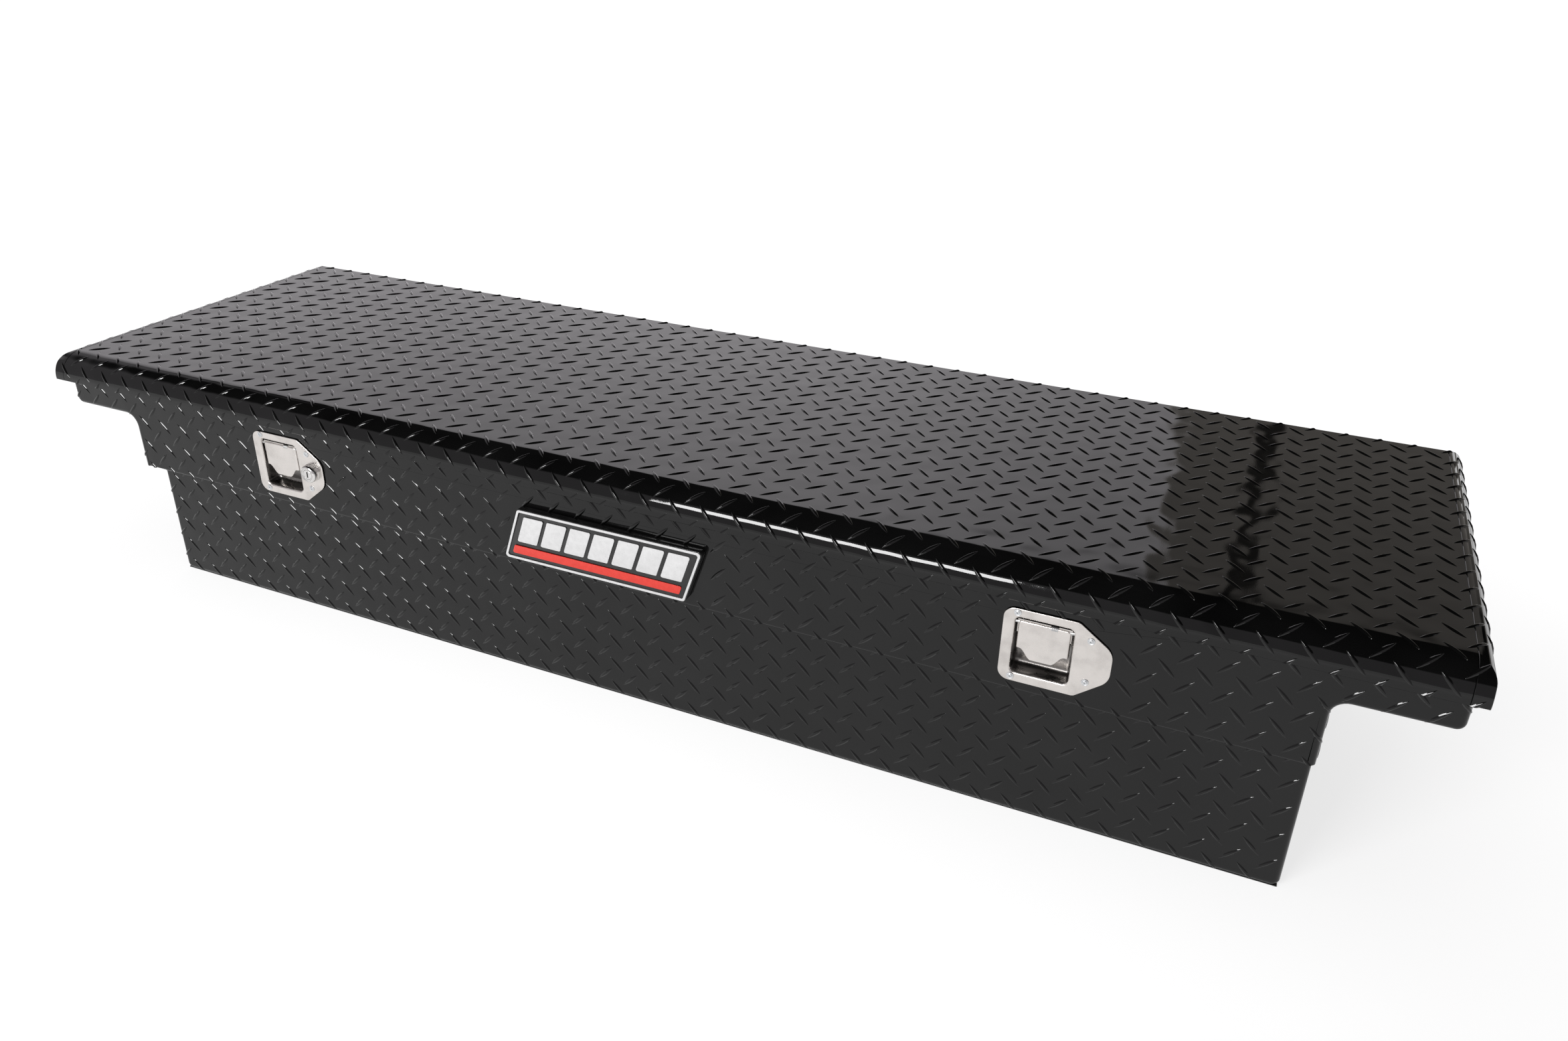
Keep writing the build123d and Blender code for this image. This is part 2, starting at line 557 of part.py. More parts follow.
make_lid()
make_tub()
make_panels()
make_wings()
make_rim()
make_hinge()
make_latches()
make_release_shaft()
make_lock()
make_struts()
make_badge()

os.makedirs("parts", exist_ok=True)
for node, shape in PARTS.items():
    export_step(shape, f"parts/{node}.step")
print(len(PARTS), "nodes")
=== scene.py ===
import json
import math

import bmesh
import bpy
import numpy as np
from mathutils import Matrix, Vector


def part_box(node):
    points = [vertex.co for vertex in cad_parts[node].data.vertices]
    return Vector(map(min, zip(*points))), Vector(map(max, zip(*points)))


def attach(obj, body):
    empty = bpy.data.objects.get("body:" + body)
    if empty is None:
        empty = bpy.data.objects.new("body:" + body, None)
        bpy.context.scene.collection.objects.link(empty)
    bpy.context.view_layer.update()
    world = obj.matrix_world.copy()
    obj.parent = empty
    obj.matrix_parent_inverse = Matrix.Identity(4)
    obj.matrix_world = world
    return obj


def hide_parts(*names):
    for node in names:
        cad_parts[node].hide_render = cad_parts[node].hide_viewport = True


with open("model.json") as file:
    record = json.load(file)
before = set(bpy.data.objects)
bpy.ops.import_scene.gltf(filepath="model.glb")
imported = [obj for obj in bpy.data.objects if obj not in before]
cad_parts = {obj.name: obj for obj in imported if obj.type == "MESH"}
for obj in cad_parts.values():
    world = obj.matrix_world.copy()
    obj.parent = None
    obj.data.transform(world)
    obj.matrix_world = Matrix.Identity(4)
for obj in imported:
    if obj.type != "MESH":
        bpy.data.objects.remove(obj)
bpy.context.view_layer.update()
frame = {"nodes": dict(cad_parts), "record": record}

# Looks for the crossover tool box. Shapes are worked out in millimetres, in the part's own
# frame (+X along the box, -Y the latch side, +Z up), and scaled to metres as meshes are made.

SLOT_OF_NODE = {row["node"]: row["material_slot"] for row in frame["record"]["subparts"]}
BODY_OF_NODE = {
    node: body for body, nodes in frame["record"]["behaviour"]["bodies"].items() for node in nodes}


def box_mm(node):
    """Lowest and highest corner of a CAD node, in millimetres."""
    low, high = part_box(node)
    return low * 1000, high * 1000


# ---- places read from the frame ----------------------------------------------
LID_LOW, LID_HIGH = box_mm("lid_skin")
LID_HALF = box_mm("lid_end_right")[1].x
LID_TOP = LID_HIGH.z
LID_BOTTOM = LID_LOW.z
LID_FRONT, LID_BACK = LID_LOW.y, LID_HIGH.y
LID_BEND = LID_HALF - LID_HIGH.x          # radius of the bend at the lid's ends
LID_ROLL = 32.0                           # radius of the rolled front edge
LID_BACK_BEND = 3.0
LID_BACK_BOTTOM = LID_TOP - 30.0
LID_SPLIT = LID_HIGH.x - 2.0              # where the lid skin meets its ends
SHEET = 1.6

PANEL_LOW, PANEL_HIGH = box_mm("front_upper_panel")
WING_HALF = PANEL_HIGH.x
RIM_Z = PANEL_HIGH.z
LEDGE_Z = PANEL_LOW.z
FRONT = PANEL_LOW.y
BACK = box_mm("back_upper_panel")[1].y
SHELF_Z = box_mm("wing_shelf_right")[0].z
TUB_HALF = box_mm("tub_end_right")[1].x
TUB_FRONT = box_mm("tub_floor")[0].y - SHEET
TUB_BACK = box_mm("tub_floor")[1].y + SHEET

PANEL_BEND = 6.0                          # radius of the folded panel edges
WING_CORNER = 9.0
SADDLE_CORNER = 16.0
TUB_CORNER = 9.0
HEM = 2.2                                 # radius of the panels' lower edge
SUPPORT = 1.5                             # flat strip beside each bend, which keeps flats flat

CLAMP_X, CLAMP_Y, CLAMP_HOLE_R = 822.0, 150.0, 5.5
CLAMP_CLEARANCE = 22.0                    # no lugs nearer to a clamp hole than this

LUG_LENGTH = 29.0
LUG_WIDTH = 5.1
LUG_HEIGHT = 1.38
LUG_SINK = 0.12
LID_PITCH = (38.2, 35.2)
LID_START = (-7.4, -206.9)
PANEL_PITCH = (36.0, 35.0)
PANEL_START = (-748.5, 248.7)
TUB_START = (-743.0, 149.3)
TUB_END_START = (-205.0, 149.3)
LEG_START = (-205.0, 213.7)
WING_END_START = (-205.0, 283.7)
SHELF_START = (804.0, -205.0)


# ---- meshes ------------------------------------------------------------------
def add_object(name, data):
    """New object in the scene: a mesh, a lamp or a camera."""
    obj = bpy.data.objects.new(name, data)
    bpy.context.scene.collection.objects.link(obj)
    return obj


def to_object(name, bm, smooth_angle=35.0):
    """One object from a bmesh in millimetres, smooth except at sharp folds."""
    mesh = bpy.data.meshes.new(name)
    bm.to_mesh(mesh)
    bm.free()
    mesh.transform(Matrix.Scale(0.001, 4))
    mesh.shade_smooth()
    mesh.set_sharp_from_angle(angle=math.radians(smooth_angle))
    return add_object(name, mesh)


def add_polygon(bm, points):
    """Closed loop of new vertices and edges."""
    verts = [bm.verts.new(p) for p in points]
    return [bm.edges.new((a, b)) for a, b in zip(verts, verts[1:] + verts[:1])]


def add_face(bm, loops):
    """Flat face inside the first loop, with the others as holes."""
    edges = []
    for loop in loops:
        edges.extend(add_polygon(bm, loop))
    bmesh.ops.triangle_fill(bm, use_beauty=True, edges=edges)


def add_grid(bm, rows, closed=False):
    """Quads between rows of points."""
    grid = [[bm.verts.new(p) for p in row] for row in rows]
    for upper, lower in zip(grid, grid[1:]):
        count = len(upper)
        for i in range(count if closed else count - 1):
            j = (i + 1) % count
            corners = (upper[i], upper[j], lower[j], lower[i])
            if len({tuple(round(c, 4) for c in v.co) for v in corners}) > 2:
                bm.faces.new(corners)


def tidy(bm, outward=None):
    """Joins the strips and points the normals outward."""
    bmesh.ops.remove_doubles(bm, verts=bm.verts, dist=0.002)
    bmesh.ops.dissolve_degenerate(bm, edges=bm.edges, dist=0.0005)
    bmesh.ops.recalc_face_normals(bm, faces=bm.faces)
    if outward is not None:
        lean = sum((f.normal * f.calc_area() for f in bm.faces), Vector())
        if lean.dot(Vector(outward)) < 0:
            bmesh.ops.reverse_faces(bm, faces=bm.faces)


def apply_modifiers(obj):
    """Replaces the object's mesh with its modified shape."""
    graph = bpy.context.evaluated_depsgraph_get()
    mesh = bpy.data.meshes.new_from_object(obj.evaluated_get(graph))
    obj.modifiers.clear()
    obj.data = mesh
    return obj


def thicken(obj, thickness, edge_radius=0.6):
    """Turns a skin into sheet metal with softly rounded edges."""
    solid = obj.modifiers.new("sheet", "SOLIDIFY")
    solid.thickness = thickness / 1000
    solid.offset = -1
    solid.use_even_offset = True
    edge = obj.modifiers.new("edge", "BEVEL")
    edge.width = edge_radius / 1000
    edge.segments = 1
    edge.limit_method = "ANGLE"
    edge.angle_limit = math.radians(60)
    apply_modifiers(obj)
    obj.data.shade_smooth()
    obj.data.set_sharp_from_angle(angle=math.radians(35))
    return obj


def join(first, second):
    """Adds the second object's mesh to the first and deletes the second."""
    bm = bmesh.new()
    bm.from_mesh(first.data)
    bm.from_mesh(second.data)
    bm.to_mesh(first.data)
    bm.free()
    bpy.data.objects.remove(second)
    return first


def trim(obj, planes):
    """Cuts off what lies past the (point, outward) planes and closes the cuts."""
    bm = bmesh.new()
    bm.from_mesh(obj.data)
    for point, outward in planes:
        geometry = bm.verts[:] + bm.edges[:] + bm.faces[:]
        cut = bmesh.ops.bisect_plane(
            bm, geom=geometry, plane_co=Vector(point) / 1000, plane_no=outward, clear_outer=True)
        edges = [e for e in cut["geom_cut"] if isinstance(e, bmesh.types.BMEdge)]
        bmesh.ops.holes_fill(bm, edges=edges, sides=0)
    bm.to_mesh(obj.data)
    bm.free()
    obj.data.set_sharp_from_angle(angle=math.radians(60))
    return obj


def place(obj, material, *nodes):
    """Gives a piece its material and lets it stand for its CAD nodes."""
    obj.data.materials.clear()
    obj.data.materials.append(material)
    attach(obj, BODY_OF_NODE[nodes[0]])
    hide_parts(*nodes)
    return obj


def arc(centre, radius, start, end, steps):
    """Points on an arc, angles in degrees."""
    angles = np.radians(np.linspace(start, end, steps + 1))
    return [(centre[0] + radius * math.cos(a), centre[1] + radius * math.sin(a)) for a in angles]


def rounded(corners, steps=6):
    """Closed outline through (x, z, radius) corners."""
    outline = []
    count = len(corners)
    for index, (x, z, radius) in enumerate(corners):
        here = Vector((x, z))
        before = (Vector(corners[index - 1][:2]) - here).normalized()
        after = (Vector(corners[(index + 1) % count][:2]) - here).normalized()
        if radius <= 0:
            outline.append((x, z))
            continue
        half = before.angle(after) / 2
        reach = radius / math.tan(half)
        centre = here + (before + after).normalized() * (radius / math.sin(half))
        first = here + before * reach - centre
        turn = first.angle_signed(here + after * reach - centre)
        for step in range(steps + 1):
            spoke = first.copy()
            spoke.rotate(Matrix.Rotation(-turn * step / steps, 2))
            outline.append(tuple(centre + spoke))
    return outline


def box_outline(x0, x1, z0, z1, radius, steps=6):
    """Closed outline of a rectangle with rounded corners."""
    return rounded([(x0, z0, radius), (x1, z0, radius), (x1, z1, radius), (x0, z1, radius)], steps)


# ---- tread lugs --------------------------------------------------------------
def lug_shape():
    """One lens-shaped lug: points (along, across, height) and faces, closed underneath."""
    stations = (-0.9, -0.66, -0.34, 0.0, 0.34, 0.66, 0.9)
    across = (-1.0, -0.65, -0.3, 0.0, 0.3, 0.65, 1.0)
    roof = (0.0, 0.46, 0.92, 1.0, 0.92, 0.46, 0.0)
    half, rise = LUG_WIDTH / 2, LUG_HEIGHT + LUG_SINK
    points = [(-LUG_LENGTH / 2, 0, -LUG_SINK)]
    for s in stations:
        narrow, crest = (1 - s * s) ** 0.85, (1 - s * s) ** 0.75
        for t, level in zip(across, roof):
            points.append((s * LUG_LENGTH / 2, t * half * narrow, crest * level * rise - LUG_SINK))
    points.append((LUG_LENGTH / 2, 0, -LUG_SINK))
    n, last = len(across), len(points) - 1
    rows = [[1 + r * n + c for c in range(n)] for r in range(len(stations))]
    faces = []
    for a, b in zip(rows, rows[1:]):
        faces.extend([a[c], a[c + 1], b[c + 1], b[c]] for c in range(n - 1))
    faces.extend([0, rows[0][c + 1], rows[0][c]] for c in range(n - 1))
    faces.extend([last, rows[-1][c], rows[-1][c + 1]] for c in range(n - 1))
    faces.append([0] + [r[0] for r in rows] + [last] + [r[-1] for r in reversed(rows)])
    return np.array(points), faces


LUG_POINTS, LUG_FACES = lug_shape()


def lattice(start, pitch, low, high, lean):
    """Lug centres with their lean: one set at the lattice points, the other at the cell centres."""
    centres = []
    for shift, sign in ((0.0, lean), (0.5, -lean)):
        first = [math.ceil((low[k] - start[k]) / pitch[k] - shift) for k in (0, 1)]
        last = [math.floor((high[k] - start[k]) / pitch[k] - shift) for k in (0, 1)]
        for i in range(first[0], last[0] + 1):
            for j in range(first[1], last[1] + 1):
                centres.append((start[0] + (i + shift) * pitch[0], start[1] + (j + shift) * pitch[1], sign))
    return centres


def make_lugs(name, centres, surface):
    """All lugs of one sheet, laid on it by surface(u, v, height, centre)."""
    points, faces = [], []
    for u, v, sign in centres:
        along = np.array((math.sqrt(0.5), sign * math.sqrt(0.5)))
        across = np.array((-along[1], along[0]))
        plan = LUG_POINTS[:, :1] * along + LUG_POINTS[:, 1:2] * across + (u, v)
        base = len(points) * len(LUG_POINTS)
        points.append(surface(plan[:, 0], plan[:, 1], LUG_POINTS[:, 2], (u, v)))
        faces.extend([base + i for i in face] for face in LUG_FACES)
    mesh = bpy.data.meshes.new(name)
    mesh.from_pydata(np.concatenate(points) / 1000, [], faces)
    bm = bmesh.new()
    bm.from_mesh(mesh)
    bmesh.ops.recalc_face_normals(bm, faces=bm.faces)
    bm.to_mesh(mesh)
    bm.free()
    mesh.shade_smooth()
    mesh.set_sharp_from_angle(angle=math.radians(60))
    return add_object(name, mesh)


# ---- lid ---------------------------------------------------------------------
ROLL_ANGLES = (0, 3, 6, 10, 14, 18, 22, 25.04, 30, 34, 38, 42, 46, 50, 55.77, 60, 65, 70, 75, 80, 85, 90)


def lid_front(z):
    """Y of the lid's outer face on the latch side at height z."""
    rise = min(max(z - (LID_TOP - LID_ROLL), 0), LID_ROLL)
    return LID_FRONT + LID_ROLL - math.sqrt(LID_ROLL ** 2 - rise ** 2)


def lid_back(z):
    """Y of the lid's outer face on the hinge side at height z."""
    rise = min(max(z - (LID_TOP - LID_BACK_BEND), 0), LID_BACK_BEND)
    return LID_BACK - LID_BACK_BEND + math.sqrt(LID_BACK_BEND ** 2 - rise ** 2)


def lid_end(z):
    """X of the lid's outer face at its ends at height z."""
    rise = min(max(z - (LID_TOP - LID_BEND), 0), LID_BEND)
    return LID_HALF - LID_BEND + math.sqrt(LID_BEND ** 2 - rise ** 2)


def lid_levels(bottom):
    """Heights from the flat top down to the given edge."""
    centre = LID_TOP - LID_ROLL
    levels = [centre + LID_ROLL * math.cos(math.radians(a)) for a in ROLL_ANGLES]
    return [z for z in levels if z > bottom + 0.5] + [bottom]


def make_lid_skin():
    """Flat top, rolled front and short back skirt, without the ends."""
    front = [(lid_front(z), z) for z in lid_levels(LID_BOTTOM)]
    back = [(lid_back(z), z) for z in lid_levels(LID_BACK_BOTTOM)]
    flat = [(front[0][0] + SUPPORT, LID_TOP), (back[0][0] - SUPPORT, LID_TOP)]
    profile = front[::-1] + flat + back
    bm = bmesh.new()
    add_grid(bm, [[(x, y, z) for y, z in profile] for x in (-LID_SPLIT, LID_SPLIT)])
    tidy(bm, (0, 0, 1))
    return thicken(to_object("lid_skin_plate", bm), SHEET)


def make_lid_end(name, side):
    """One bent-down end of the lid, with its strips of the front and the back."""
    levels = lid_levels(LID_BOTTOM)
    bm = bmesh.new()
    front_rows, back_rows, end_rows = [], [], []
    for z in levels:
        y0, y1, x = lid_front(z), lid_back(z), lid_end(z)
        front_rows.append([(side * LID_SPLIT, y0, z), (side * x, y0, z)])
        end_rows.append([(side * x, y0, z), (side * x, y1, z)])
        if z >= LID_BACK_BOTTOM:
            back_rows.append([(side * LID_SPLIT, y1, z), (side * x, y1, z)])
    top = [[(side * x, y, LID_TOP) for y in (lid_front(LID_TOP), lid_back(LID_TOP))]
           for x in (LID_SPLIT, LID_HALF - LID_BEND)]
    for rows in (front_rows, back_rows, end_rows, top):
        add_grid(bm, rows)
    tidy(bm, (side, 0, 0.2))
    return thicken(to_object(name, bm), SHEET)


def lid_surface(u, v, height, centre):
    """Lays a point of the flat lid sheet on the bent lid, height above its face."""
    flat_front, flat_back = LID_FRONT + LID_ROLL, LID_BACK - LID_BACK_BEND
    y, z = v.copy(), np.full_like(v, LID_TOP)
    out = np.zeros((len(v), 3))
    out[:, 2] = 1
    quarter = LID_ROLL * math.pi / 2
    turn = np.clip(flat_front - v, 0, quarter) / LID_ROLL
    below = np.clip(flat_front - v - quarter, 0, LID_ROLL)
    rolled = v < flat_front
    y = np.where(rolled, flat_front - LID_ROLL * np.sin(turn), y)
    z = np.where(rolled, LID_TOP - LID_ROLL * (1 - np.cos(turn)) - below, z)
    out[:, 1] = np.where(rolled, -np.sin(turn), 0)
    out[:, 2] = np.where(rolled, np.cos(turn), 1)
    x = u.copy()
    side = 1 if centre[0] > 0 else -1
    if centre[1] > flat_front:
        start = LID_HALF - LID_BEND
        past = np.maximum(side * u - start, 0)
        bend = np.minimum(past / LID_BEND, math.pi / 2)
        bent = past > 0
        drop = LID_BEND * (1 - np.cos(bend)) + np.maximum(past - LID_BEND * math.pi / 2, 0)
        x = np.where(bent, side * (start + LID_BEND * np.sin(bend)), u)
        z = np.where(bent, LID_TOP - drop, z)
        out[:, 0] = np.where(bent, side * np.sin(bend), 0)
        out[:, 2] = np.where(bent, np.cos(bend), out[:, 2])
        y = np.where(bent, np.maximum(y, [lid_front(h) for h in z]), y)
    else:
        limit = np.array([lid_end(h) for h in z])
        x = np.clip(u, -limit, limit)
    return np.stack((x, y, z), 1) + out * height[:, None]


def make_lid(material):
    skin = make_lid_skin()
    quarter = math.pi / 2
    reach_u = LID_HALF - LID_BEND + LID_BEND * quarter + LID_TOP - LID_BOTTOM - LID_BEND
    low_v = LID_FRONT + LID_ROLL * (1 - quarter) - 3.0
    high_v = LID_BACK - LID_BACK_BEND
    centres = lattice(LID_START, LID_PITCH, (-reach_u, low_v - 4), (reach_u, high_v + 4), 1)
    centres = [c for c in centres if c[1] > LID_FRONT + LID_ROLL or abs(c[0]) < LID_HALF - 6]
    split = LID_SPLIT + 4
    groups = {0: [], -1: [], 1: []}
    for c in centres:
        groups[0 if abs(c[0]) < split else (1 if c[0] > 0 else -1)].append(c)
    edges = (((0, 0, LID_BOTTOM), (0, 0, -1)), ((0, high_v, 0), (0, 1, 0)))
    place(join(skin, trim(make_lugs("lid_lugs", groups[0], lid_surface), edges)), material, "lid_skin")
    for side, name in ((-1, "left"), (1, "right")):
        end = make_lid_end(f"lid_end_{name}_plate", side)
        lugs = trim(make_lugs(f"lid_end_{name}_lugs", groups[side], lid_surface), edges)
        place(join(end, lugs), material, f"lid_end_{name}")


# ---- upper panels, tub walls, wings ------------------------------------------
def upper_side(inset):
    """Right-hand edge of the tee-shaped upper panel, from the rim to the ledge."""
    path = [(WING_HALF - inset, RIM_Z)]
    path += arc((WING_HALF - WING_CORNER, SHELF_Z + WING_CORNER), WING_CORNER - inset, 0, -90, 6)
    path += arc((TUB_HALF + SADDLE_CORNER, SHELF_Z - SADDLE_CORNER), SADDLE_CORNER + inset, 90, 180, 8)
    path.append((TUB_HALF - inset, LEDGE_Z))
    return path


def lower_side(inset):
    """Right-hand edge of a lower tub wall, from the ledge round to the middle of its foot."""
    path = [(TUB_HALF - inset, LEDGE_Z + SHEET)]
    path += arc((TUB_HALF - TUB_CORNER, TUB_CORNER), TUB_CORNER - inset, 0, -90, 6)
    path.append((0, inset))
    return path


def mirrored(path):
    return [(-x, z) for x, z in reversed(path)]


def folded_wall(name, side_path, face, out, holes=(), round_foot=False):
    """Sheet wall in the XZ plane with edges folded back. out is the outer side, +1 or -1 along Y."""
    bm = bmesh.new()
    steps = 6
    insets = [(PANEL_BEND + SUPPORT, 0.0)]
    for step in range(steps + 1):
        angle = math.pi / 2 * step / steps
        insets.append((PANEL_BEND * (1 - math.sin(angle)), PANEL_BEND * (1 - math.cos(angle))))
    right = [[(x, face - out * depth, z) for x, z in side_path(inset)] for inset, depth in insets]
    left = [[(x, face - out * depth, z) for x, z in mirrored(side_path(inset))] for inset, depth in insets]
    add_grid(bm, right)
    add_grid(bm, left)
    inner = side_path(insets[0][0])
    if round_foot:
        outline = inner + mirrored(inner)[1:]
    else:
        corner_x, foot = inner[-1]
        hem = [(face, foot + HEM + SUPPORT)]
        hem += [(face - out * (HEM + dy), foot + HEM + dz) for dy, dz in arc((0, 0), HEM, 180, 270, 5)]
        add_grid(bm, [[(x, y, z) for x in (-corner_x, corner_x)] for y, z in hem])
        inner[-1] = (corner_x, foot + HEM + SUPPORT)
        outline = inner + mirrored(inner)
    loops = [[(x, face, z) for x, z in outline]]
    loops += [[(x, face, z) for x, z in hole] for hole in holes]
    add_face(bm, loops)
    tidy(bm, (0, out, 0))
    return thicken(to_object(name, bm), SHEET)


def wall_surface(face, out, side_at, foot_at):
    """Surface function of a folded wall. side_at and foot_at give the edges near a lug's centre."""
    def surface(u, v, height, centre):
        limit, foot = side_at(centre), foot_at(centre)
        bends = []
        for past in (np.abs(u) - (limit - PANEL_BEND), (foot + PANEL_BEND) - v):
            angle = np.clip(past / PANEL_BEND, 0, math.pi / 2)
            angle = np.where(past > 0, angle, 0)
            bends.append(angle)
        x = np.where(bends[0] > 0, np.sign(u) * (limit - PANEL_BEND + PANEL_BEND * np.sin(bends[0])), u)
        z = np.where(bends[1] > 0, foot + PANEL_BEND - PANEL_BEND * np.sin(bends[1]), v)
        depth = PANEL_BEND * (2 - np.cos(bends[0]) - np.cos(bends[1]))
        normal = np.stack((
            np.sign(u) * np.sin(bends[0]), out * np.cos(bends[0]) * np.cos(bends[1]), -np.sin(bends[1])), 1)
        normal /= np.linalg.norm(normal, axis=1)[:, None]
        depth = np.minimum(depth, PANEL_BEND)
        return np.stack((x, face - out * depth, z), 1) + normal * height[:, None]
    return surface


def inside(point, boxes, margin):
    return any(
        x0 - margin < point[0] < x1 + margin and z0 - margin < point[1] < z1 + margin
        for x0, x1, z0, z1 in boxes)


def upper_lugs(name, face, out, blocked):
    centres = lattice(PANEL_START, PANEL_PITCH, (-WING_HALF, LEDGE_Z - 2), (WING_HALF, RIM_Z - 12), -1)
    kept = []
    for c in centres:
        reach = math.hypot(abs(c[0]) - TUB_HALF - SADDLE_CORNER, c[1] - SHELF_Z + SADDLE_CORNER)
        past_leg = abs(c[0]) > TUB_HALF + 2 and c[1] < SHELF_Z - 1
        if past_leg or reach < SADDLE_CORNER + 5 or inside(c, blocked, 2.0):
            continue
        kept.append(c)

    def side_at(c):
        return WING_HALF if c[1] > SHELF_Z - 6 and abs(c[0]) > TUB_HALF - 30 else TUB_HALF + (
            200 if c[1] > SHELF_Z + 2 else 0)

    def foot_at(c):
        return SHELF_Z if abs(c[0]) > TUB_HALF + SADDLE_CORNER - 6 else LEDGE_Z - PANEL_BEND

    lugs = make_lugs(name, kept, wall_surface(face, out, side_at, foot_at))
    return trim(lugs, [((0, 0, LEDGE_Z + 0.4), (0, 0, -1))])


def tub_side_at(centre):
    return TUB_HALF


def tub_foot_at(centre):
    return 0.0


def lower_lugs(name, face, out):
    centres = lattice(TUB_START, PANEL_PITCH, (-TUB_HALF, 1), (TUB_HALF, LEDGE_Z - 6), -1)
    lugs = make_lugs(name, centres, wall_surface(face, out, tub_side_at, tub_foot_at))
    return trim(lugs, [((0, 0, LEDGE_Z), (0, 0, 1))])


def swept(name, profile, y0, y1, outward):
    """Sheet with an (x, z) profile carried along Y."""
    bm = bmesh.new()
    add_grid(bm, [[(x, y, z) for x, z in profile] for y in (y0, y1)])
    tidy(bm, outward)
    return thicken(to_object(name, bm), SHEET)


def plane_lugs(name, centres, axis, level, out, low, high):
    """Lugs on a flat sheet across X or Z, cut at its edges. u and v are the other two axes."""
    def surface(u, v, height, centre):
        lift = level + out * height
        return np.stack((lift, u, v) if axis == 0 else (u, v, lift), 1)

    planes = []
    for k, corner, sign in ((0, low, -1), (1, low, -1), (0, high, 1), (1, high, 1)):
        direction = [0, 0, 0]
        direction[k + 1 if axis == 0 else k] = sign
        point = [c * corner[k] * sign for c in direction]
        planes.append((point, direction))
    return trim(make_lugs(name, centres, surface), planes)


def make_walls(tread, pockets, badge):
    holes = [box_outline(x0, x1, z0, z1, 4) for x0, x1, z0, z1 in pockets["cut"]]
    front = folded_wall("front_panel_plate", upper_side, FRONT, -1, holes)
    lugs = upper_lugs("front_lugs", FRONT, -1, pockets["cover"] + [badge])
    place(join(front, lugs), tread, "front_upper_panel")
    back = folded_wall("back_panel_plate", upper_side, BACK, 1)
    place(join(back, upper_lugs("back_lugs", BACK, 1, [])), tread, "back_upper_panel")
    for node, face, panel, out in (
            ("tub_front_wall", TUB_FRONT, FRONT, -1), ("tub_back_wall", TUB_BACK, BACK, 1)):
        wall = folded_wall(f"{node}_plate", lower_side, face, out, round_foot=True)
        bm = bmesh.new()
        edge = TUB_HALF - SHEET
        add_grid(bm, [[(x, face - out * SHEET, LEDGE_Z), (x, panel - out * (SHEET + 0.3), LEDGE_Z)]
                      for x in (-edge, edge)])
        tidy(bm, (0, 0, -1))
        join(wall, thicken(to_object("ledge", bm), SHEET))
        place(join(wall, lower_lugs(f"{node}_lugs", face, out)), tread, node)


def on_side(side, path):
    return [(side * x, z) for x, z in path]


def make_side_sheets(tread):
    """Tub ends, wing shelves and wing ends, left and right."""
    y0, y1 = FRONT + PANEL_BEND, BACK - PANEL_BEND
    for name, side in (("left", -1), ("right", 1)):
        saddle = arc((TUB_HALF + SADDLE_CORNER, SHELF_Z - SADDLE_CORNER), SADDLE_CORNER, 90, 180, 8)
        wing = arc((WING_HALF - WING_CORNER, SHELF_Z + WING_CORNER), WING_CORNER, -90, 0, 6)
        leg = swept(f"leg_{name}", on_side(side, saddle + [(TUB_HALF, LEDGE_Z)]), y0, y1, (side, 0, -0.1))
        foot = arc((TUB_HALF - TUB_CORNER, TUB_CORNER), TUB_CORNER, 0, -90, 6)
        low = swept(
            f"tub_end_{name}_plate", on_side(side, [(TUB_HALF, LEDGE_Z + SHEET)] + foot),
            TUB_FRONT + PANEL_BEND, TUB_BACK - PANEL_BEND, (side, 0, -0.1))
        join(low, leg)
        low_box, high_box = (TUB_FRONT + PANEL_BEND, TUB_CORNER), (TUB_BACK - PANEL_BEND, LEDGE_Z)
        centres = lattice(TUB_END_START, PANEL_PITCH, low_box, high_box, -1)
        lugs = plane_lugs("low_lugs", centres, 0, side * TUB_HALF, side, low_box, high_box)
        low_box, high_box = (y0, LEDGE_Z), (y1, SHELF_Z - SADDLE_CORNER)
        centres = lattice(LEG_START, PANEL_PITCH, low_box, high_box, -1)
        join(lugs, plane_lugs("high_lugs", centres, 0, side * TUB_HALF, side, low_box, high_box))
        place(join(low, lugs), tread, f"tub_end_{name}")

        rise = swept(
            f"wing_end_{name}_plate", on_side(side, wing + [(WING_HALF, RIM_Z)]), y0, y1, (side, 0, -0.1))
        low_box, high_box = (y0, SHELF_Z + WING_CORNER), (y1, RIM_Z - 4)
        centres = lattice(WING_END_START, PANEL_PITCH, low_box, high_box, -1)
        join(rise, plane_lugs("rise_lugs", centres, 0, side * WING_HALF, side, low_box, high_box))
        place(rise, tread, f"wing_end_{name}")

        inner, outer = TUB_HALF + SADDLE_CORNER, WING_HALF - WING_CORNER
        shelf = clamp_shelf(f"wing_shelf_{name}_plate", side, inner, outer, y0, y1)
        low_box = (min(side * inner, side * outer), y0)
        high_box = (max(side * inner, side * outer), y1)
        start = (side * SHELF_START[0], SHELF_START[1])
        centres = lattice(start, PANEL_PITCH, low_box, high_box, -1)
        centres = [c for c in centres if all(
            math.hypot(c[0] - side * CLAMP_X, c[1] - y) > CLAMP_CLEARANCE for y in (-CLAMP_Y, CLAMP_Y))]
        join(shelf, plane_lugs("shelf_lugs", centres, 2, SHELF_Z, -1, low_box, high_box))
        place(shelf, tread, f"wing_shelf_{name}")


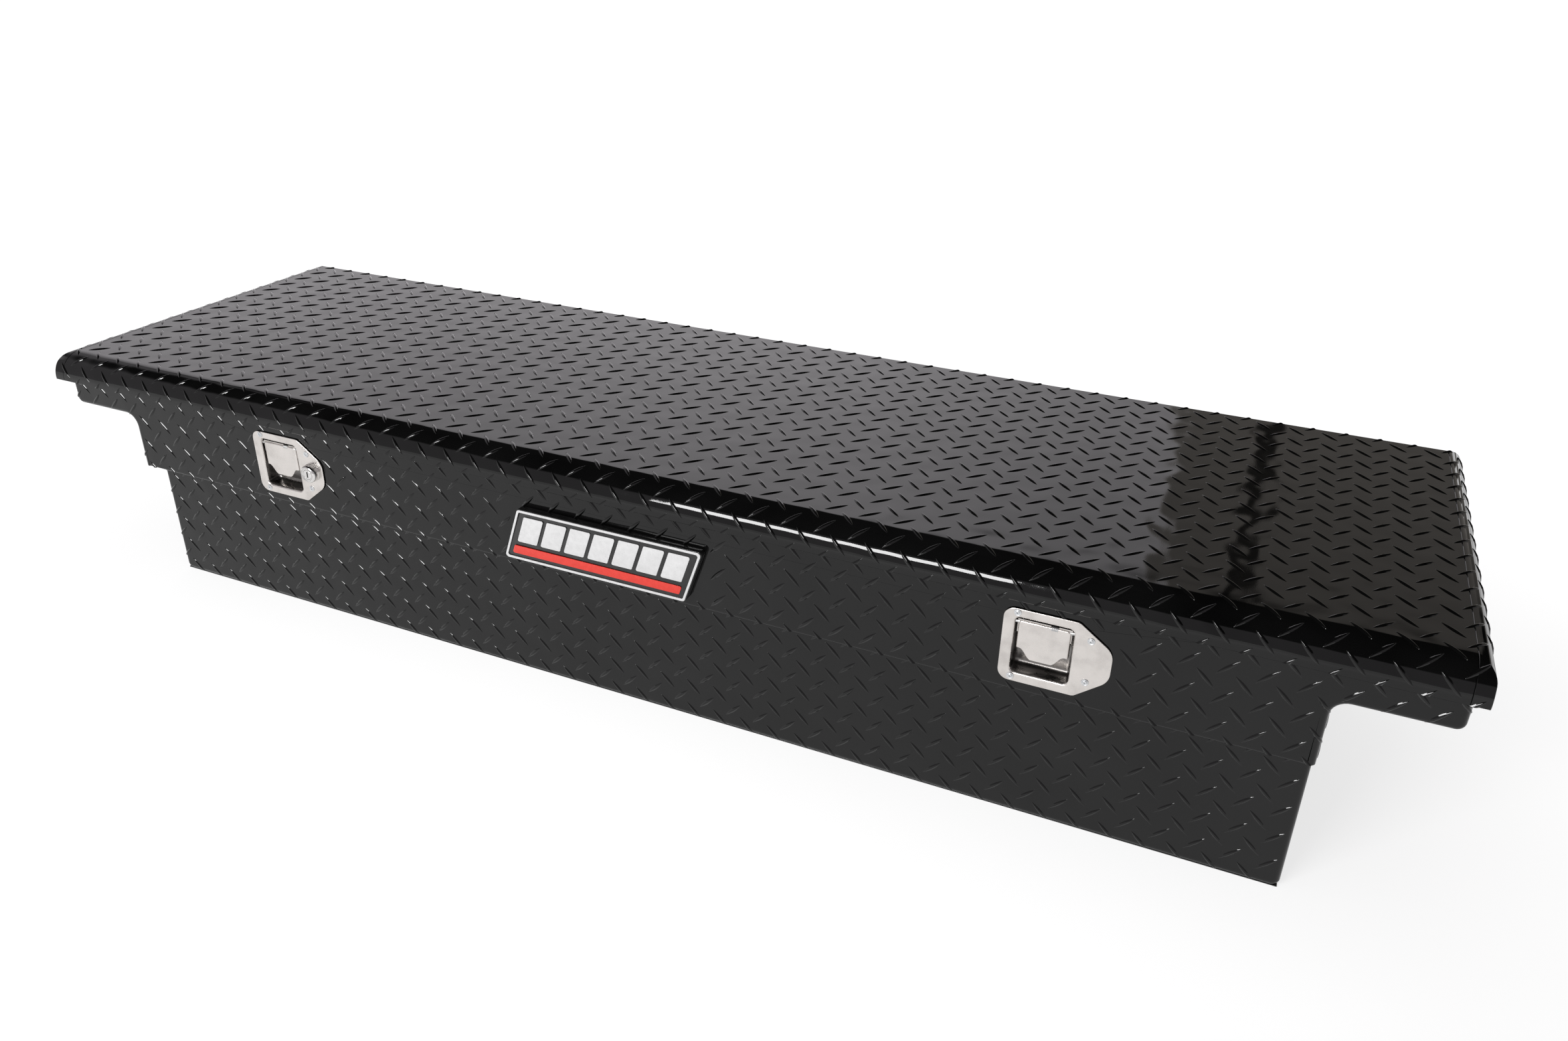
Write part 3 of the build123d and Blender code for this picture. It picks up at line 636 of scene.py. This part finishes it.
def clamp_shelf(name, side, inner, outer, y0, y1):
    """Wing underside with its two clamp holes."""
    bm = bmesh.new()
    corners = ((inner, y0), (outer, y0), (outer, y1), (inner, y1))
    loops = [[(side * x, y, SHELF_Z) for x, y in corners]]
    for hole_y in (-CLAMP_Y, CLAMP_Y):
        ring = arc((side * CLAMP_X, hole_y), CLAMP_HOLE_R, 0, 345, 23)
        loops.append([(x, y, SHELF_Z) for x, y in ring])
    add_face(bm, loops)
    tidy(bm, (0, 0, -1))
    return thicken(to_object(name, bm), SHEET, 0.3)


# ---- latches -----------------------------------------------------------------
PAN_SHEET = 1.2
POCKET_MARGINS = (11.0, 73.0, 10.0, 77.5)
PADDLE_RECESS = 2.6
PADDLE_HEIGHT = 44.4
PADDLE_SIDE_GAP = 0.8
PADDLE_FOLD, PADDLE_DEPTH, PADDLE_CORNER = 2.2, 5.5, 4.0
LIP_HEIGHT, LIP_WAVE = 12.0, 13.0         # the wavy lip's drop, and the run it takes to get there
WORKS_BEHIND = 1.6                        # barrel and crank start this far behind the tray's face
MOUTH_RADIUS = 3.2
FLOOR_RADIUS = 5.0
WALL_RADIUS = 5.4                         # corners of the pocket, seen from the front
PAN_EDGE = 0.8                            # radius of the pan's broken outer edge
PAN_CORNER = 12.0
NOSE_BELOW, NOSE_ABOVE, SHOULDER_CORNER = 79.0, 76.0, 8.0
NOSE_HALF, NOSE_CORNER = 17.0, 19.0
CRANK_SLOT = (-13.5, -4.5, 232.5, 261.0)  # X from the pocket's middle, then heights
RIVET_PLACES = ((14.0, 82.5), (14.0, 6.0), (89.0, 69.0), (89.0, 20.0))
LOCK_HOLE_R = 9.6


def pan_places():
    """Edges of both pans and of their pockets, read from the frame."""
    places = []
    for side in ("left", "right"):
        low, high = box_mm(f"latch_pan_{side}")
        left, right, bottom, top = POCKET_MARGINS
        places.append({
            "side": side, "x0": low.x, "x1": high.x, "z0": low.z, "z1": high.z, "face": low.y,
            "back": high.y, "pocket": (low.x + left, low.x + right, low.z + bottom, low.z + top)})
    return places


def lock_centre():
    """X and Z of the lock's axis."""
    low, high = box_mm("lock_body")
    return (low.x + high.x) / 2, (low.z + high.z) / 2


def pan_corners(p, inset):
    """Outline of a pan: square-cornered left, a blunt nose to the right."""
    nose = (p["z1"] - p["z0"]) / 2
    x0, x1, z0, z1 = p["x0"], p["x1"], p["z0"], p["z1"]
    return rounded([
        (x0 + inset, z0 + inset, PAN_CORNER - inset),
        (x0 + NOSE_BELOW, z0 + inset, SHOULDER_CORNER),
        (x1 - inset, z0 + nose - NOSE_HALF, NOSE_CORNER),
        (x1 - inset, z0 + nose + NOSE_HALF, NOSE_CORNER),
        (x0 + NOSE_ABOVE, z1 - inset, SHOULDER_CORNER),
        (x0 + inset, z1 - inset, PAN_CORNER - inset)], 8)


def pocket_ring(p, grow, radius):
    """Outline of a pan's pocket, inside the sheet and wider by grow."""
    x0, x1, z0, z1 = p["pocket"]
    inset = PAN_SHEET - grow
    return box_outline(x0 + inset, x1 - inset, z0 + inset, z1 - inset, radius)


def make_pan(p, steel):
    """Pressed pan: broken outer edge, flange, rolled pocket mouth, walls and a filleted floor."""
    face, floor = p["face"], p["back"] - PAN_SHEET
    bm = bmesh.new()
    edge_rows = []
    for step in range(4):
        angle = math.pi / 2 * step / 3
        inset, depth = PAN_EDGE * (1 - math.cos(angle)), PAN_EDGE * (1 - math.sin(angle))
        edge_rows.append([(x, face + depth, z) for x, z in pan_corners(p, inset)])
    edge_rows.append([(x, face, z) for x, z in pan_corners(p, PAN_EDGE + SUPPORT)])
    add_grid(bm, edge_rows, closed=True)
    mouth = MOUTH_RADIUS + SUPPORT
    rows = [[(x, face, z) for x, z in pocket_ring(p, mouth, WALL_RADIUS + mouth)]]
    for step in range(7):
        angle = math.pi / 2 * step / 6
        grow, depth = MOUTH_RADIUS * (1 - math.sin(angle)), MOUTH_RADIUS * (1 - math.cos(angle))
        rows.append([(x, face + depth, z) for x, z in pocket_ring(p, grow, WALL_RADIUS + grow)])
    for step in range(7):
        angle = math.pi / 2 * step / 6
        grow, depth = -FLOOR_RADIUS * (1 - math.cos(angle)), FLOOR_RADIUS * (1 - math.sin(angle))
        rows.append([(x, floor - depth, z) for x, z in pocket_ring(p, grow, WALL_RADIUS + grow + 0.2)])
    rows.append([(x, floor, z) for x, z in pocket_ring(p, -FLOOR_RADIUS - 1, 0.4)])
    add_grid(bm, rows, closed=True)
    lock = []
    if p["side"] == "left":
        lock = [[(x, face, z) for x, z in arc(lock_centre(), LOCK_HOLE_R, 0, 350, 35)]]
    add_face(bm, [edge_rows[-1], rows[0]] + lock)
    middle = (p["pocket"][0] + p["pocket"][1]) / 2
    x0, x1, z0, z1 = CRANK_SLOT
    slot = box_outline(middle + x0, middle + x1, z0, z1, 1, 3)
    add_face(bm, [rows[-1], [(x, floor, z) for x, z in slot]])
    tidy(bm)
    flange = [f for f in bm.faces if abs(f.calc_center_median().y - face) < 0.1]
    if sum(f.normal.y * f.calc_area() for f in flange) > 0:
        bmesh.ops.reverse_faces(bm, faces=bm.faces)
    pan = thicken(to_object(f"latch_pan_{p['side']}_pressed", bm), PAN_SHEET - 0.2, 0.15)
    place(pan, steel, f"latch_pan_{p['side']}")


def make_paddle(p, steel):
    """Pull paddle: a pressed plate with folded top and sides, a wavy lip, and the CAD barrel and crank."""
    node = f"paddle_{p['side']}"
    low, high = box_mm(node)
    face, fold, corner = low.y + PADDLE_RECESS, PADDLE_FOLD, PADDLE_CORNER
    shoulder = low.z + LIP_HEIGHT
    middle, half = (low.x + high.x) / 2, (high.x - low.x) / 2 - PADDLE_SIDE_GAP
    top = low.z + PADDLE_HEIGHT

    def edge(inset):
        path = [(middle - half + inset, shoulder)]
        path += arc((middle - half + corner, top - corner), corner - inset, 180, 90, 6)
        path += arc((middle + half - corner, top - corner), corner - inset, 90, 0, 6)
        path.append((middle + half - inset, shoulder))
        return path

    rows = [[(x, face, z) for x, z in edge(fold + SUPPORT)]]
    for angle in np.radians(np.linspace(90, 0, 6)):
        inset, back = fold * (1 - math.cos(angle)), fold * (1 - math.sin(angle))
        rows.append([(x, face + back, z) for x, z in edge(inset)])
    rows.append([(x, face + PADDLE_DEPTH, z) for x, z in edge(0)])
    bm = bmesh.new()
    add_grid(bm, rows)
    reach = half - fold - SUPPORT
    lip = []
    for offset in np.linspace(reach, -reach, 33)[1:-1]:
        share = min(max((reach - abs(offset)) / LIP_WAVE, 0), 1)
        lip.append((middle + offset, shoulder - LIP_HEIGHT * (0.5 - 0.5 * math.cos(math.pi * share))))
    add_face(bm, [[(x, face, z) for x, z in edge(fold + SUPPORT) + lip]])
    tidy(bm, (0, -1, 0))
    paddle = thicken(to_object(f"{node}_pressed", bm), 1.2, 0.3)
    works = soften(node, 0.5)
    trim(works, [((0, face + WORKS_BEHIND, 0), (0, -1, 0))])
    place(join(paddle, works), steel, node)


def turned(name, profile, centres, steps):
    """Turned pieces along Y: (radius, y) profile, one copy at each (x, z)."""
    bm = bmesh.new()
    for x, z in centres:
        rows = []
        for radius, y in profile:
            ring = arc((x, z), max(radius, 0.0005), 0, 360 - 360 / steps, steps - 1)
            rows.append([(px, y, pz) for px, pz in ring])
        add_grid(bm, rows, closed=True)
    tidy(bm)
    return to_object(name, bm, 32)


def make_rivets(places, steel):
    spots = [(p["x0"] + u, p["z0"] + v) for p in places for u, v in RIVET_PLACES]
    face = places[0]["face"]
    back = box_mm("latch_rivets")[1].y
    profile = [
        (0, face - 0.3), (0.8, face - 0.3), (0.9, face - 1.2), (1.1, face - 1.5), (1.6, face - 1.6),
        (2.1, face - 1.4), (2.3, face - 0.8), (2.6, face - 0.7), (3.2, face - 0.95), (3.7, face - 0.8),
        (3.95, face - 0.4), (4.0, face), (2.0, face + 0.05),
        (2.0, FRONT + SHEET), (3.0, FRONT + SHEET + 0.1), (2.8, back - 0.4), (2.0, back), (0, back)]
    place(turned("latch_rivets_domed", profile, spots, 24), steel, "latch_rivets")


def make_lock(chrome):
    low, high = box_mm("lock_body")
    radius, face = (high.x - low.x) / 2, low.y
    base = box_mm("latch_pan_left")[0].y
    bore = 6.55
    profile = [
        (bore, high.y), (bore, face + 0.9), (bore + 0.3, face + 0.35), (7.9, face + 0.25),
        (8.2, face + 0.8), (8.7, face + 0.8), (9.0, face + 0.15), (9.6, face), (10.5, face + 0.4),
        (11.3, face + 1.2),
        (11.8, face + 2.3), (radius, face + 3.6), (radius, base - 1.6), (radius + 0.35, base - 1.2),
        (radius + 0.35, base - 0.02), (9.5, base), (9.5, high.y), (bore, high.y)]
    place(turned("lock_body_turned", profile, [lock_centre()], 64), chrome, "lock_body")


# ---- CAD copies with softened edges ------------------------------------------
def soften(node, width):
    """Copy of a CAD node with its sharp edges rounded."""
    mesh = frame["nodes"][node].data.copy()
    bm = bmesh.new()
    bm.from_mesh(mesh)
    bmesh.ops.remove_doubles(bm, verts=bm.verts, dist=1e-6)
    bmesh.ops.dissolve_limit(
        bm, angle_limit=math.radians(1.0), verts=bm.verts, edges=bm.edges, use_dissolve_boundaries=False)
    bm.to_mesh(mesh)
    bm.free()
    obj = add_object(f"{node}_soft", mesh)
    edge = obj.modifiers.new("edge", "BEVEL")
    edge.width = width / 1000
    edge.segments = 2
    edge.limit_method = "ANGLE"
    edge.angle_limit = math.radians(38)
    edge.harden_normals = True
    edge.use_clamp_overlap = True
    mesh.shade_smooth()
    apply_modifiers(obj)
    return obj


SOFT_EDGES = {
    "lock_plug": 0.3, "lock_cam": 0.4, "lock_nut": 0.5,
    "badge_plate": 0.9, "badge_rim": 0.35, "badge_slats": 0.45, "badge_bar": 0.45,
    "rotor_left": 0.5, "rotor_right": 0.5, "release_lever_left": 0.4, "release_lever_right": 0.4,
    "latch_housing_left": 0.3, "latch_housing_right": 0.3, "striker_left": 0.4, "striker_right": 0.4,
    "lid_channels": 0.3, "rim_rails": 0.3, "weather_seal": 2.5, "tub_floor": 0.4,
    "hinge_body_leaf": 0.25, "hinge_lid_leaf": 0.25, "hinge_body_rivets": 0.7, "hinge_lid_rivets": 0.7,
    "strut_body_studs": 0.4, "strut_lid_studs": 0.4, "strut_tube_left": 0.8, "strut_tube_right": 0.8,
    "strut_rod_left": 0.5, "strut_rod_right": 0.5, "latch_gasket_left": 0.2, "latch_gasket_right": 0.2,
    "release_shaft": 0.5, "shaft_bushes": 0.3, "rotor_pins": 0.4, "hinge_pin": 0.4,
}


# ---- materials ---------------------------------------------------------------
def map_range(tree, value, start, end, low, high, interpolation):
    """Maps the values from start to end onto the range from low to high."""
    node = tree.nodes.new("ShaderNodeMapRange")
    node.interpolation_type = interpolation
    for socket, number in (("From Min", start), ("From Max", end), ("To Min", low), ("To Max", high)):
        node.inputs[socket].default_value = number
    tree.links.new(value, node.inputs["Value"])
    return node.outputs["Result"]


class Paint:
    """A node material built round one Principled shader."""

    def __init__(self, name, colour, roughness, metallic=0.0, specular=0.5):
        self.material = bpy.data.materials.new(name)
        self.material.use_nodes = True
        self.nodes = self.material.node_tree.nodes
        self.links = self.material.node_tree.links
        self.shader = self.nodes["Principled BSDF"]
        self.shader.inputs["Base Color"].default_value = (*colour, 1)
        self.shader.inputs["Roughness"].default_value = roughness
        self.shader.inputs["Metallic"].default_value = metallic
        self.shader.inputs["Specular IOR Level"].default_value = specular
        self.place = self.nodes.new("ShaderNodeTexCoord")
        self.normal = None

    def noise(self, scale, detail=4.0, stretch=(1, 1, 1)):
        """Noise in the piece's own space, scale in cells per metre."""
        mapping = self.nodes.new("ShaderNodeMapping")
        mapping.inputs["Scale"].default_value = stretch
        texture = self.nodes.new("ShaderNodeTexNoise")
        texture.inputs["Scale"].default_value = scale
        texture.inputs["Detail"].default_value = detail
        self.links.new(self.place.outputs["Object"], mapping.inputs["Vector"])
        self.links.new(mapping.outputs["Vector"], texture.inputs["Vector"])
        return texture.outputs["Fac"]

    def along(self, axis):
        """One coordinate of the piece's own space, in metres."""
        node = self.nodes.new("ShaderNodeSeparateXYZ")
        self.links.new(self.place.outputs["Object"], node.inputs[0])
        return node.outputs[axis]

    def ramp(self, value, stops):
        """Colour ramp over a value, stops as (place, colour)."""
        node = self.nodes.new("ShaderNodeValToRGB")
        while len(node.color_ramp.elements) < len(stops):
            node.color_ramp.elements.new(0.5)
        for element, (where, colour) in zip(node.color_ramp.elements, stops):
            element.position = where
            element.color = (*colour, 1)
        self.links.new(value, node.inputs["Fac"])
        return node.outputs["Color"]

    def spread(self, value, low, high, start=0.3, end=0.7):
        """Straight map of a value onto a range. The usual start and end suit a noise value."""
        return map_range(self.material.node_tree, value, start, end, low, high, "LINEAR")

    def colour(self, value, stops):
        self.links.new(self.ramp(value, stops), self.shader.inputs["Base Color"])

    def darken(self, value, low, high):
        """Multiplies the colour by a ramp from low to high."""
        node = self.nodes.new("ShaderNodeMix")
        node.data_type, node.blend_type = "RGBA", "MULTIPLY"
        node.inputs[0].default_value = 1.0
        colour = self.shader.inputs["Base Color"]
        self.links.new(colour.links[0].from_socket, node.inputs[6])
        self.links.new(self.ramp(value, ((0.0, low), (1.0, high))), node.inputs[7])
        self.links.new(node.outputs[2], colour)

    def rough(self, value, low, high):
        self.links.new(self.spread(value, low, high), self.shader.inputs["Roughness"])

    def bump(self, value, depth):
        """Relief from a value, depth in millimetres. Calls add up."""
        node = self.nodes.new("ShaderNodeBump")
        node.inputs["Distance"].default_value = depth / 1000
        node.inputs["Strength"].default_value = 1.0
        self.links.new(value, node.inputs["Height"])
        if self.normal is not None:
            self.links.new(self.normal, node.inputs["Normal"])
        self.normal = node.outputs["Normal"]
        self.links.new(self.normal, self.shader.inputs["Normal"])


def grey(value):
    return (value, value, value)


def tread_black():
    paint = Paint("tread_black_powder_coat", grey(0.0022), 0.045, specular=0.32)
    paint.colour(paint.noise(9, 3), ((0.35, grey(0.0016)), (0.65, grey(0.003))))
    paint.rough(paint.noise(60, 4), 0.02, 0.05)
    paint.bump(paint.noise(34, 0), 0.45)
    paint.bump(paint.noise(900, 2), 0.006)
    return paint.material


def body_black():
    paint = Paint("body_black_powder_coat", grey(0.004), 0.22)
    paint.colour(paint.noise(14, 4), ((0.3, grey(0.003)), (0.7, grey(0.006))))
    paint.rough(paint.noise(70, 5), 0.16, 0.3)
    paint.bump(paint.noise(1100, 3), 0.012)
    return paint.material


def stainless():
    paint = Paint("stainless_brushed", (0.62, 0.59, 0.565), 0.3, metallic=1.0)
    smudge = paint.noise(48, 6)
    paint.colour(smudge, ((0.3, (0.53, 0.5, 0.48)), (0.5, (0.63, 0.6, 0.575)), (0.72, (0.67, 0.635, 0.61))))
    # Painted shade: the steel colour is multiplied down to 0.3 of itself from Y -236.8 mm to -232.5 mm and
    # behind, so the latch pockets (and the recessed paddles) read darker deeper in, standing in for the
    # shadow inside the recesses.
    depth = paint.spread(paint.along("Y"), 1.0, 0.0, -0.2368, -0.2325)
    paint.darken(depth, grey(0.3), grey(1.0))
    paint.rough(paint.noise(95, 5), 0.2, 0.38)
    paint.bump(paint.noise(260, 4, (1, 1, 14)), 0.006)
    paint.bump(paint.noise(30, 2), 0.05)
    return paint.material


def zinc_steel():
    paint = Paint("zinc_plate", (0.5, 0.51, 0.53), 0.35, metallic=1.0)
    paint.colour(paint.noise(120, 5), ((0.3, (0.42, 0.43, 0.45)), (0.7, (0.6, 0.6, 0.58))))
    paint.rough(paint.noise(300, 4), 0.28, 0.45)
    paint.bump(paint.noise(1500, 3), 0.01)
    return paint.material


def chrome():
    paint = Paint("lock_chrome", (0.66, 0.65, 0.64), 0.14, metallic=1.0)
    paint.colour(paint.noise(150, 4), ((0.3, (0.58, 0.57, 0.56)), (0.7, (0.7, 0.69, 0.68))))
    paint.rough(paint.noise(400, 4), 0.1, 0.24)
    paint.bump(paint.noise(900, 3), 0.004)
    return paint.material


def rubber():
    paint = Paint("sponge_rubber", grey(0.012), 0.75, specular=0.3)
    paint.colour(paint.noise(500, 5), ((0.3, grey(0.008)), (0.7, grey(0.02))))
    paint.rough(paint.noise(800, 4), 0.65, 0.9)
    paint.bump(paint.noise(2200, 4), 0.05)
    return paint.material


def bush_plastic():
    paint = Paint("natural_nylon", (0.68, 0.65, 0.58), 0.45)
    paint.colour(paint.noise(200, 3), ((0.3, (0.62, 0.59, 0.52)), (0.7, (0.74, 0.71, 0.64))))
    paint.rough(paint.noise(700, 3), 0.38, 0.55)
    paint.bump(paint.noise(1600, 2), 0.01)
    return paint.material


def strut_black():
    paint = Paint("strut_satin_black", grey(0.012), 0.35)
    paint.colour(paint.noise(180, 4), ((0.3, grey(0.009)), (0.7, grey(0.017))))
    paint.rough(paint.noise(500, 4), 0.28, 0.45)
    paint.bump(paint.noise(1400, 3), 0.008)
    return paint.material


def plastic(name, dark, light, low, high):
    """Moulded badge plastic with a faint mottled gloss."""
    paint = Paint(name, light, (low + high) / 2)
    paint.colour(paint.noise(160, 4), ((0.3, dark), (0.7, light)))
    paint.rough(paint.noise(420, 4), low, high)
    paint.bump(paint.noise(1800, 2), 0.006)
    return paint.material


def aluminium():
    paint = Paint("aluminium_mill", (0.62, 0.63, 0.64), 0.4, metallic=1.0)
    paint.colour(paint.noise(90, 5, (1, 8, 8)), ((0.3, (0.54, 0.55, 0.56)), (0.7, (0.68, 0.69, 0.7))))
    paint.rough(paint.noise(200, 4, (1, 10, 10)), 0.3, 0.5)
    paint.bump(paint.noise(500, 3, (1, 12, 12)), 0.01)
    return paint.material


def make_materials():
    return {
        "tread_black": tread_black(),
        "body_black": body_black(),
        "stainless": stainless(),
        "zinc_steel": zinc_steel(),
        "chrome": chrome(),
        "rubber": rubber(),
        "bush_plastic": bush_plastic(),
        "strut_black": strut_black(),
        "badge_black": plastic("badge_black_gloss", grey(0.004), grey(0.009), 0.12, 0.2),
        "badge_silver": plastic("badge_pale", grey(0.47), grey(0.53), 0.25, 0.35),
        "badge_red": plastic("badge_red_gloss", (0.5, 0.022, 0.012), (0.56, 0.03, 0.018), 0.2, 0.3),
        "aluminium": aluminium(),
    }


# ---- studio ------------------------------------------------------------------
BAY_DARKER = 0.66                         # share of the light that the bay behind takes away
GAP_DARKER = 0.9                          # the same for the narrow gap in the bay
FLOOR_Z = -0.4
CAMERA_PLACE = (0.6529, -1.2636, 0.9098)  # metres
CAMERA_TURN = (-23.399, -26.795, 1.104)   # yaw, pitch and roll in degrees
CAMERA_LENS = 27.225
CAMERA_SHIFT = (0.0017, -0.0152)


def math_node(tree, operation, *values):
    node = tree.nodes.new("ShaderNodeMath")
    node.operation = operation
    for socket, value in zip(node.inputs, values):
        if isinstance(value, (int, float)):
            socket.default_value = value
        else:
            tree.links.new(value, socket)
    return node.outputs[0]


def product(tree, first, second):
    return math_node(tree, "MULTIPLY", first, second)


def one_minus(tree, value):
    return math_node(tree, "SUBTRACT", 1.0, value)


def ramp_node(tree, value, start, end, low, high):
    """Smooth step between two levels."""
    return map_range(tree, value, start, end, low, high, "SMOOTHSTEP")


def make_world():
    """Pale studio walls up to about 30 degrees, a dark ceiling, and a darker bay behind to the right."""
    world = bpy.data.worlds.new("studio")
    bpy.context.scene.world = world
    world.use_nodes = True
    tree = world.node_tree
    coords = tree.nodes.new("ShaderNodeTexCoord")
    split = tree.nodes.new("ShaderNodeSeparateXYZ")
    tree.links.new(coords.outputs["Generated"], split.inputs[0])
    x, y, z = split.outputs
    turn = math_node(tree, "ARCTAN2", x, y)
    wall_back = ramp_node(tree, z, 0.47, 0.53, 1.17, 0.02)
    wall_front = ramp_node(tree, z, 0.57, 0.64, 0.55, 0.012)
    front = ramp_node(tree, math_node(tree, "ABSOLUTE", turn), 0.95, 1.2, 0.0, 1.0)
    wall = math_node(
        tree, "ADD", product(tree, wall_front, front), product(tree, wall_back, one_minus(tree, front)))
    bay = product(tree, ramp_node(tree, turn, -0.066, -0.056, 0.0, 1.0),
                  ramp_node(tree, turn, 0.9, 1.2, 1.0, 0.0))
    gap = product(tree, ramp_node(tree, turn, 0.0, 0.006, 0.0, 1.0),
                  ramp_node(tree, turn, 0.018, 0.024, 1.0, 0.0))
    shade = one_minus(tree, product(tree, bay, BAY_DARKER))
    shade = product(tree, shade, ramp_node(tree, turn, -0.75, -0.45, 1.0, 1.2))
    shade = product(tree, shade, ramp_node(tree, turn, -0.38, -0.06, 1.0, 0.74))
    shade = product(tree, shade, one_minus(tree, product(tree, gap, GAP_DARKER)))
    light = product(tree, wall, shade)
    tree.links.new(light, tree.nodes["Background"].inputs["Strength"])
    tint = tree.nodes.new("ShaderNodeValToRGB")
    tint.color_ramp.elements[0].color = (1, 0.965, 1, 1)
    tint.color_ramp.elements[1].color = (1, 0.93, 0.86, 1)
    tree.links.new(bay, tint.inputs["Fac"])
    tree.links.new(tint.outputs["Color"], tree.nodes["Background"].inputs["Color"])


def area_light(name, centre, target, size, watts):
    data = bpy.data.lights.new(name, "AREA")
    data.shape = "RECTANGLE"
    data.size, data.size_y = size
    data.energy = watts
    lamp = add_object(name, data)
    lamp.location = centre
    lamp.rotation_euler = (Vector(target) - Vector(centre)).to_track_quat("-Z", "Y").to_euler()


def make_lights():
    area_light("front_softbox", (-0.42, -2.19, 1.33), (0.0, -0.25, 0.3), (1.12, 0.44), 47)
    data = bpy.data.lights.new("overhead_fill", "SUN")
    data.energy = 1.0
    data.angle = math.radians(70)
    lamp = add_object("overhead_fill", data)
    lamp.rotation_euler = (math.radians(12), math.radians(-8), 0)
    lamp.visible_glossy = False


def make_floor():
    bm = bmesh.new()
    rings = [0.0, 1.0, 2.5, 6.0, 14.0, 40.0]
    rows = [[(r * 1000 * math.cos(a), r * 1000 * math.sin(a), FLOOR_Z)
             for a in np.linspace(0, 2 * math.pi, 48, endpoint=False)] for r in rings]
    add_grid(bm, rows, closed=True)
    tidy(bm, (0, 0, 1))
    floor = to_object("studio_floor", bm)
    paint = Paint("pale_floor", grey(0.3), 0.7, specular=0.0)
    paint.colour(paint.noise(0.8, 2), ((0.3, grey(0.29)), (0.7, grey(0.31))))
    away = paint.nodes.new("ShaderNodeVectorMath")
    away.operation = "DISTANCE"
    away.inputs[1].default_value = (0, -0.5, 0)
    paint.links.new(paint.place.outputs["Object"], away.inputs[0])
    glow = ramp_node(paint.material.node_tree, away.outputs["Value"], 0.9, 2.0, 0.75, 0.92)
    paint.links.new(glow, paint.shader.inputs["Emission Strength"])
    paint.shader.inputs["Emission Color"].default_value = (1, 1, 1, 1)
    floor.data.materials.append(paint.material)


def make_camera():
    """Placed by a fit to the box's own corners, looking down at the latch side from the right."""
    yaw, pitch, roll = (math.radians(a) for a in CAMERA_TURN)
    forward = Vector((math.sin(yaw) * math.cos(pitch), math.cos(yaw) * math.cos(pitch), math.sin(pitch)))
    right = Vector((math.cos(yaw), -math.sin(yaw), 0))
    up = right.cross(forward)
    turned_right = right * math.cos(roll) + up * math.sin(roll)
    turned_up = up * math.cos(roll) - right * math.sin(roll)
    data = bpy.data.cameras.new("camera")
    data.lens = CAMERA_LENS
    data.sensor_width = 36
    data.shift_x, data.shift_y = CAMERA_SHIFT
    data.clip_start = 0.02
    camera = add_object("camera", data)
    matrix = Matrix((turned_right, turned_up, -forward)).transposed().to_4x4()
    matrix.translation = CAMERA_PLACE
    camera.matrix_world = matrix
    bpy.context.scene.camera = camera


# ---- build -------------------------------------------------------------------
materials = make_materials()
pans = pan_places()
pockets = {
    "cut": [(x0 - 1, x1 + 1, z0 - 1, z1 + 1) for x0, x1, z0, z1 in (p["pocket"] for p in pans)],
    "cover": [(p["x0"], p["x1"], p["z0"], p["z1"]) for p in pans],
}
badge_low, badge_high = box_mm("badge_plate")
badge_box = (badge_low.x, badge_high.x, badge_low.z, badge_high.z)

make_lid(materials["tread_black"])
make_walls(materials["tread_black"], pockets, badge_box)
make_side_sheets(materials["tread_black"])
for pan in pans:
    make_pan(pan, materials["stainless"])
    make_paddle(pan, materials["stainless"])
make_rivets(pans, materials["aluminium"])
make_lock(materials["chrome"])
for node, width in SOFT_EDGES.items():
    place(soften(node, width), materials[SLOT_OF_NODE[node]], node)

for node, obj in frame["nodes"].items():
    if not obj.hide_render:
        obj.data.materials.clear()
        obj.data.materials.append(materials[SLOT_OF_NODE[node]])

make_floor()
make_world()
make_lights()
make_camera()
bpy.context.scene.view_settings.view_transform = "Standard"
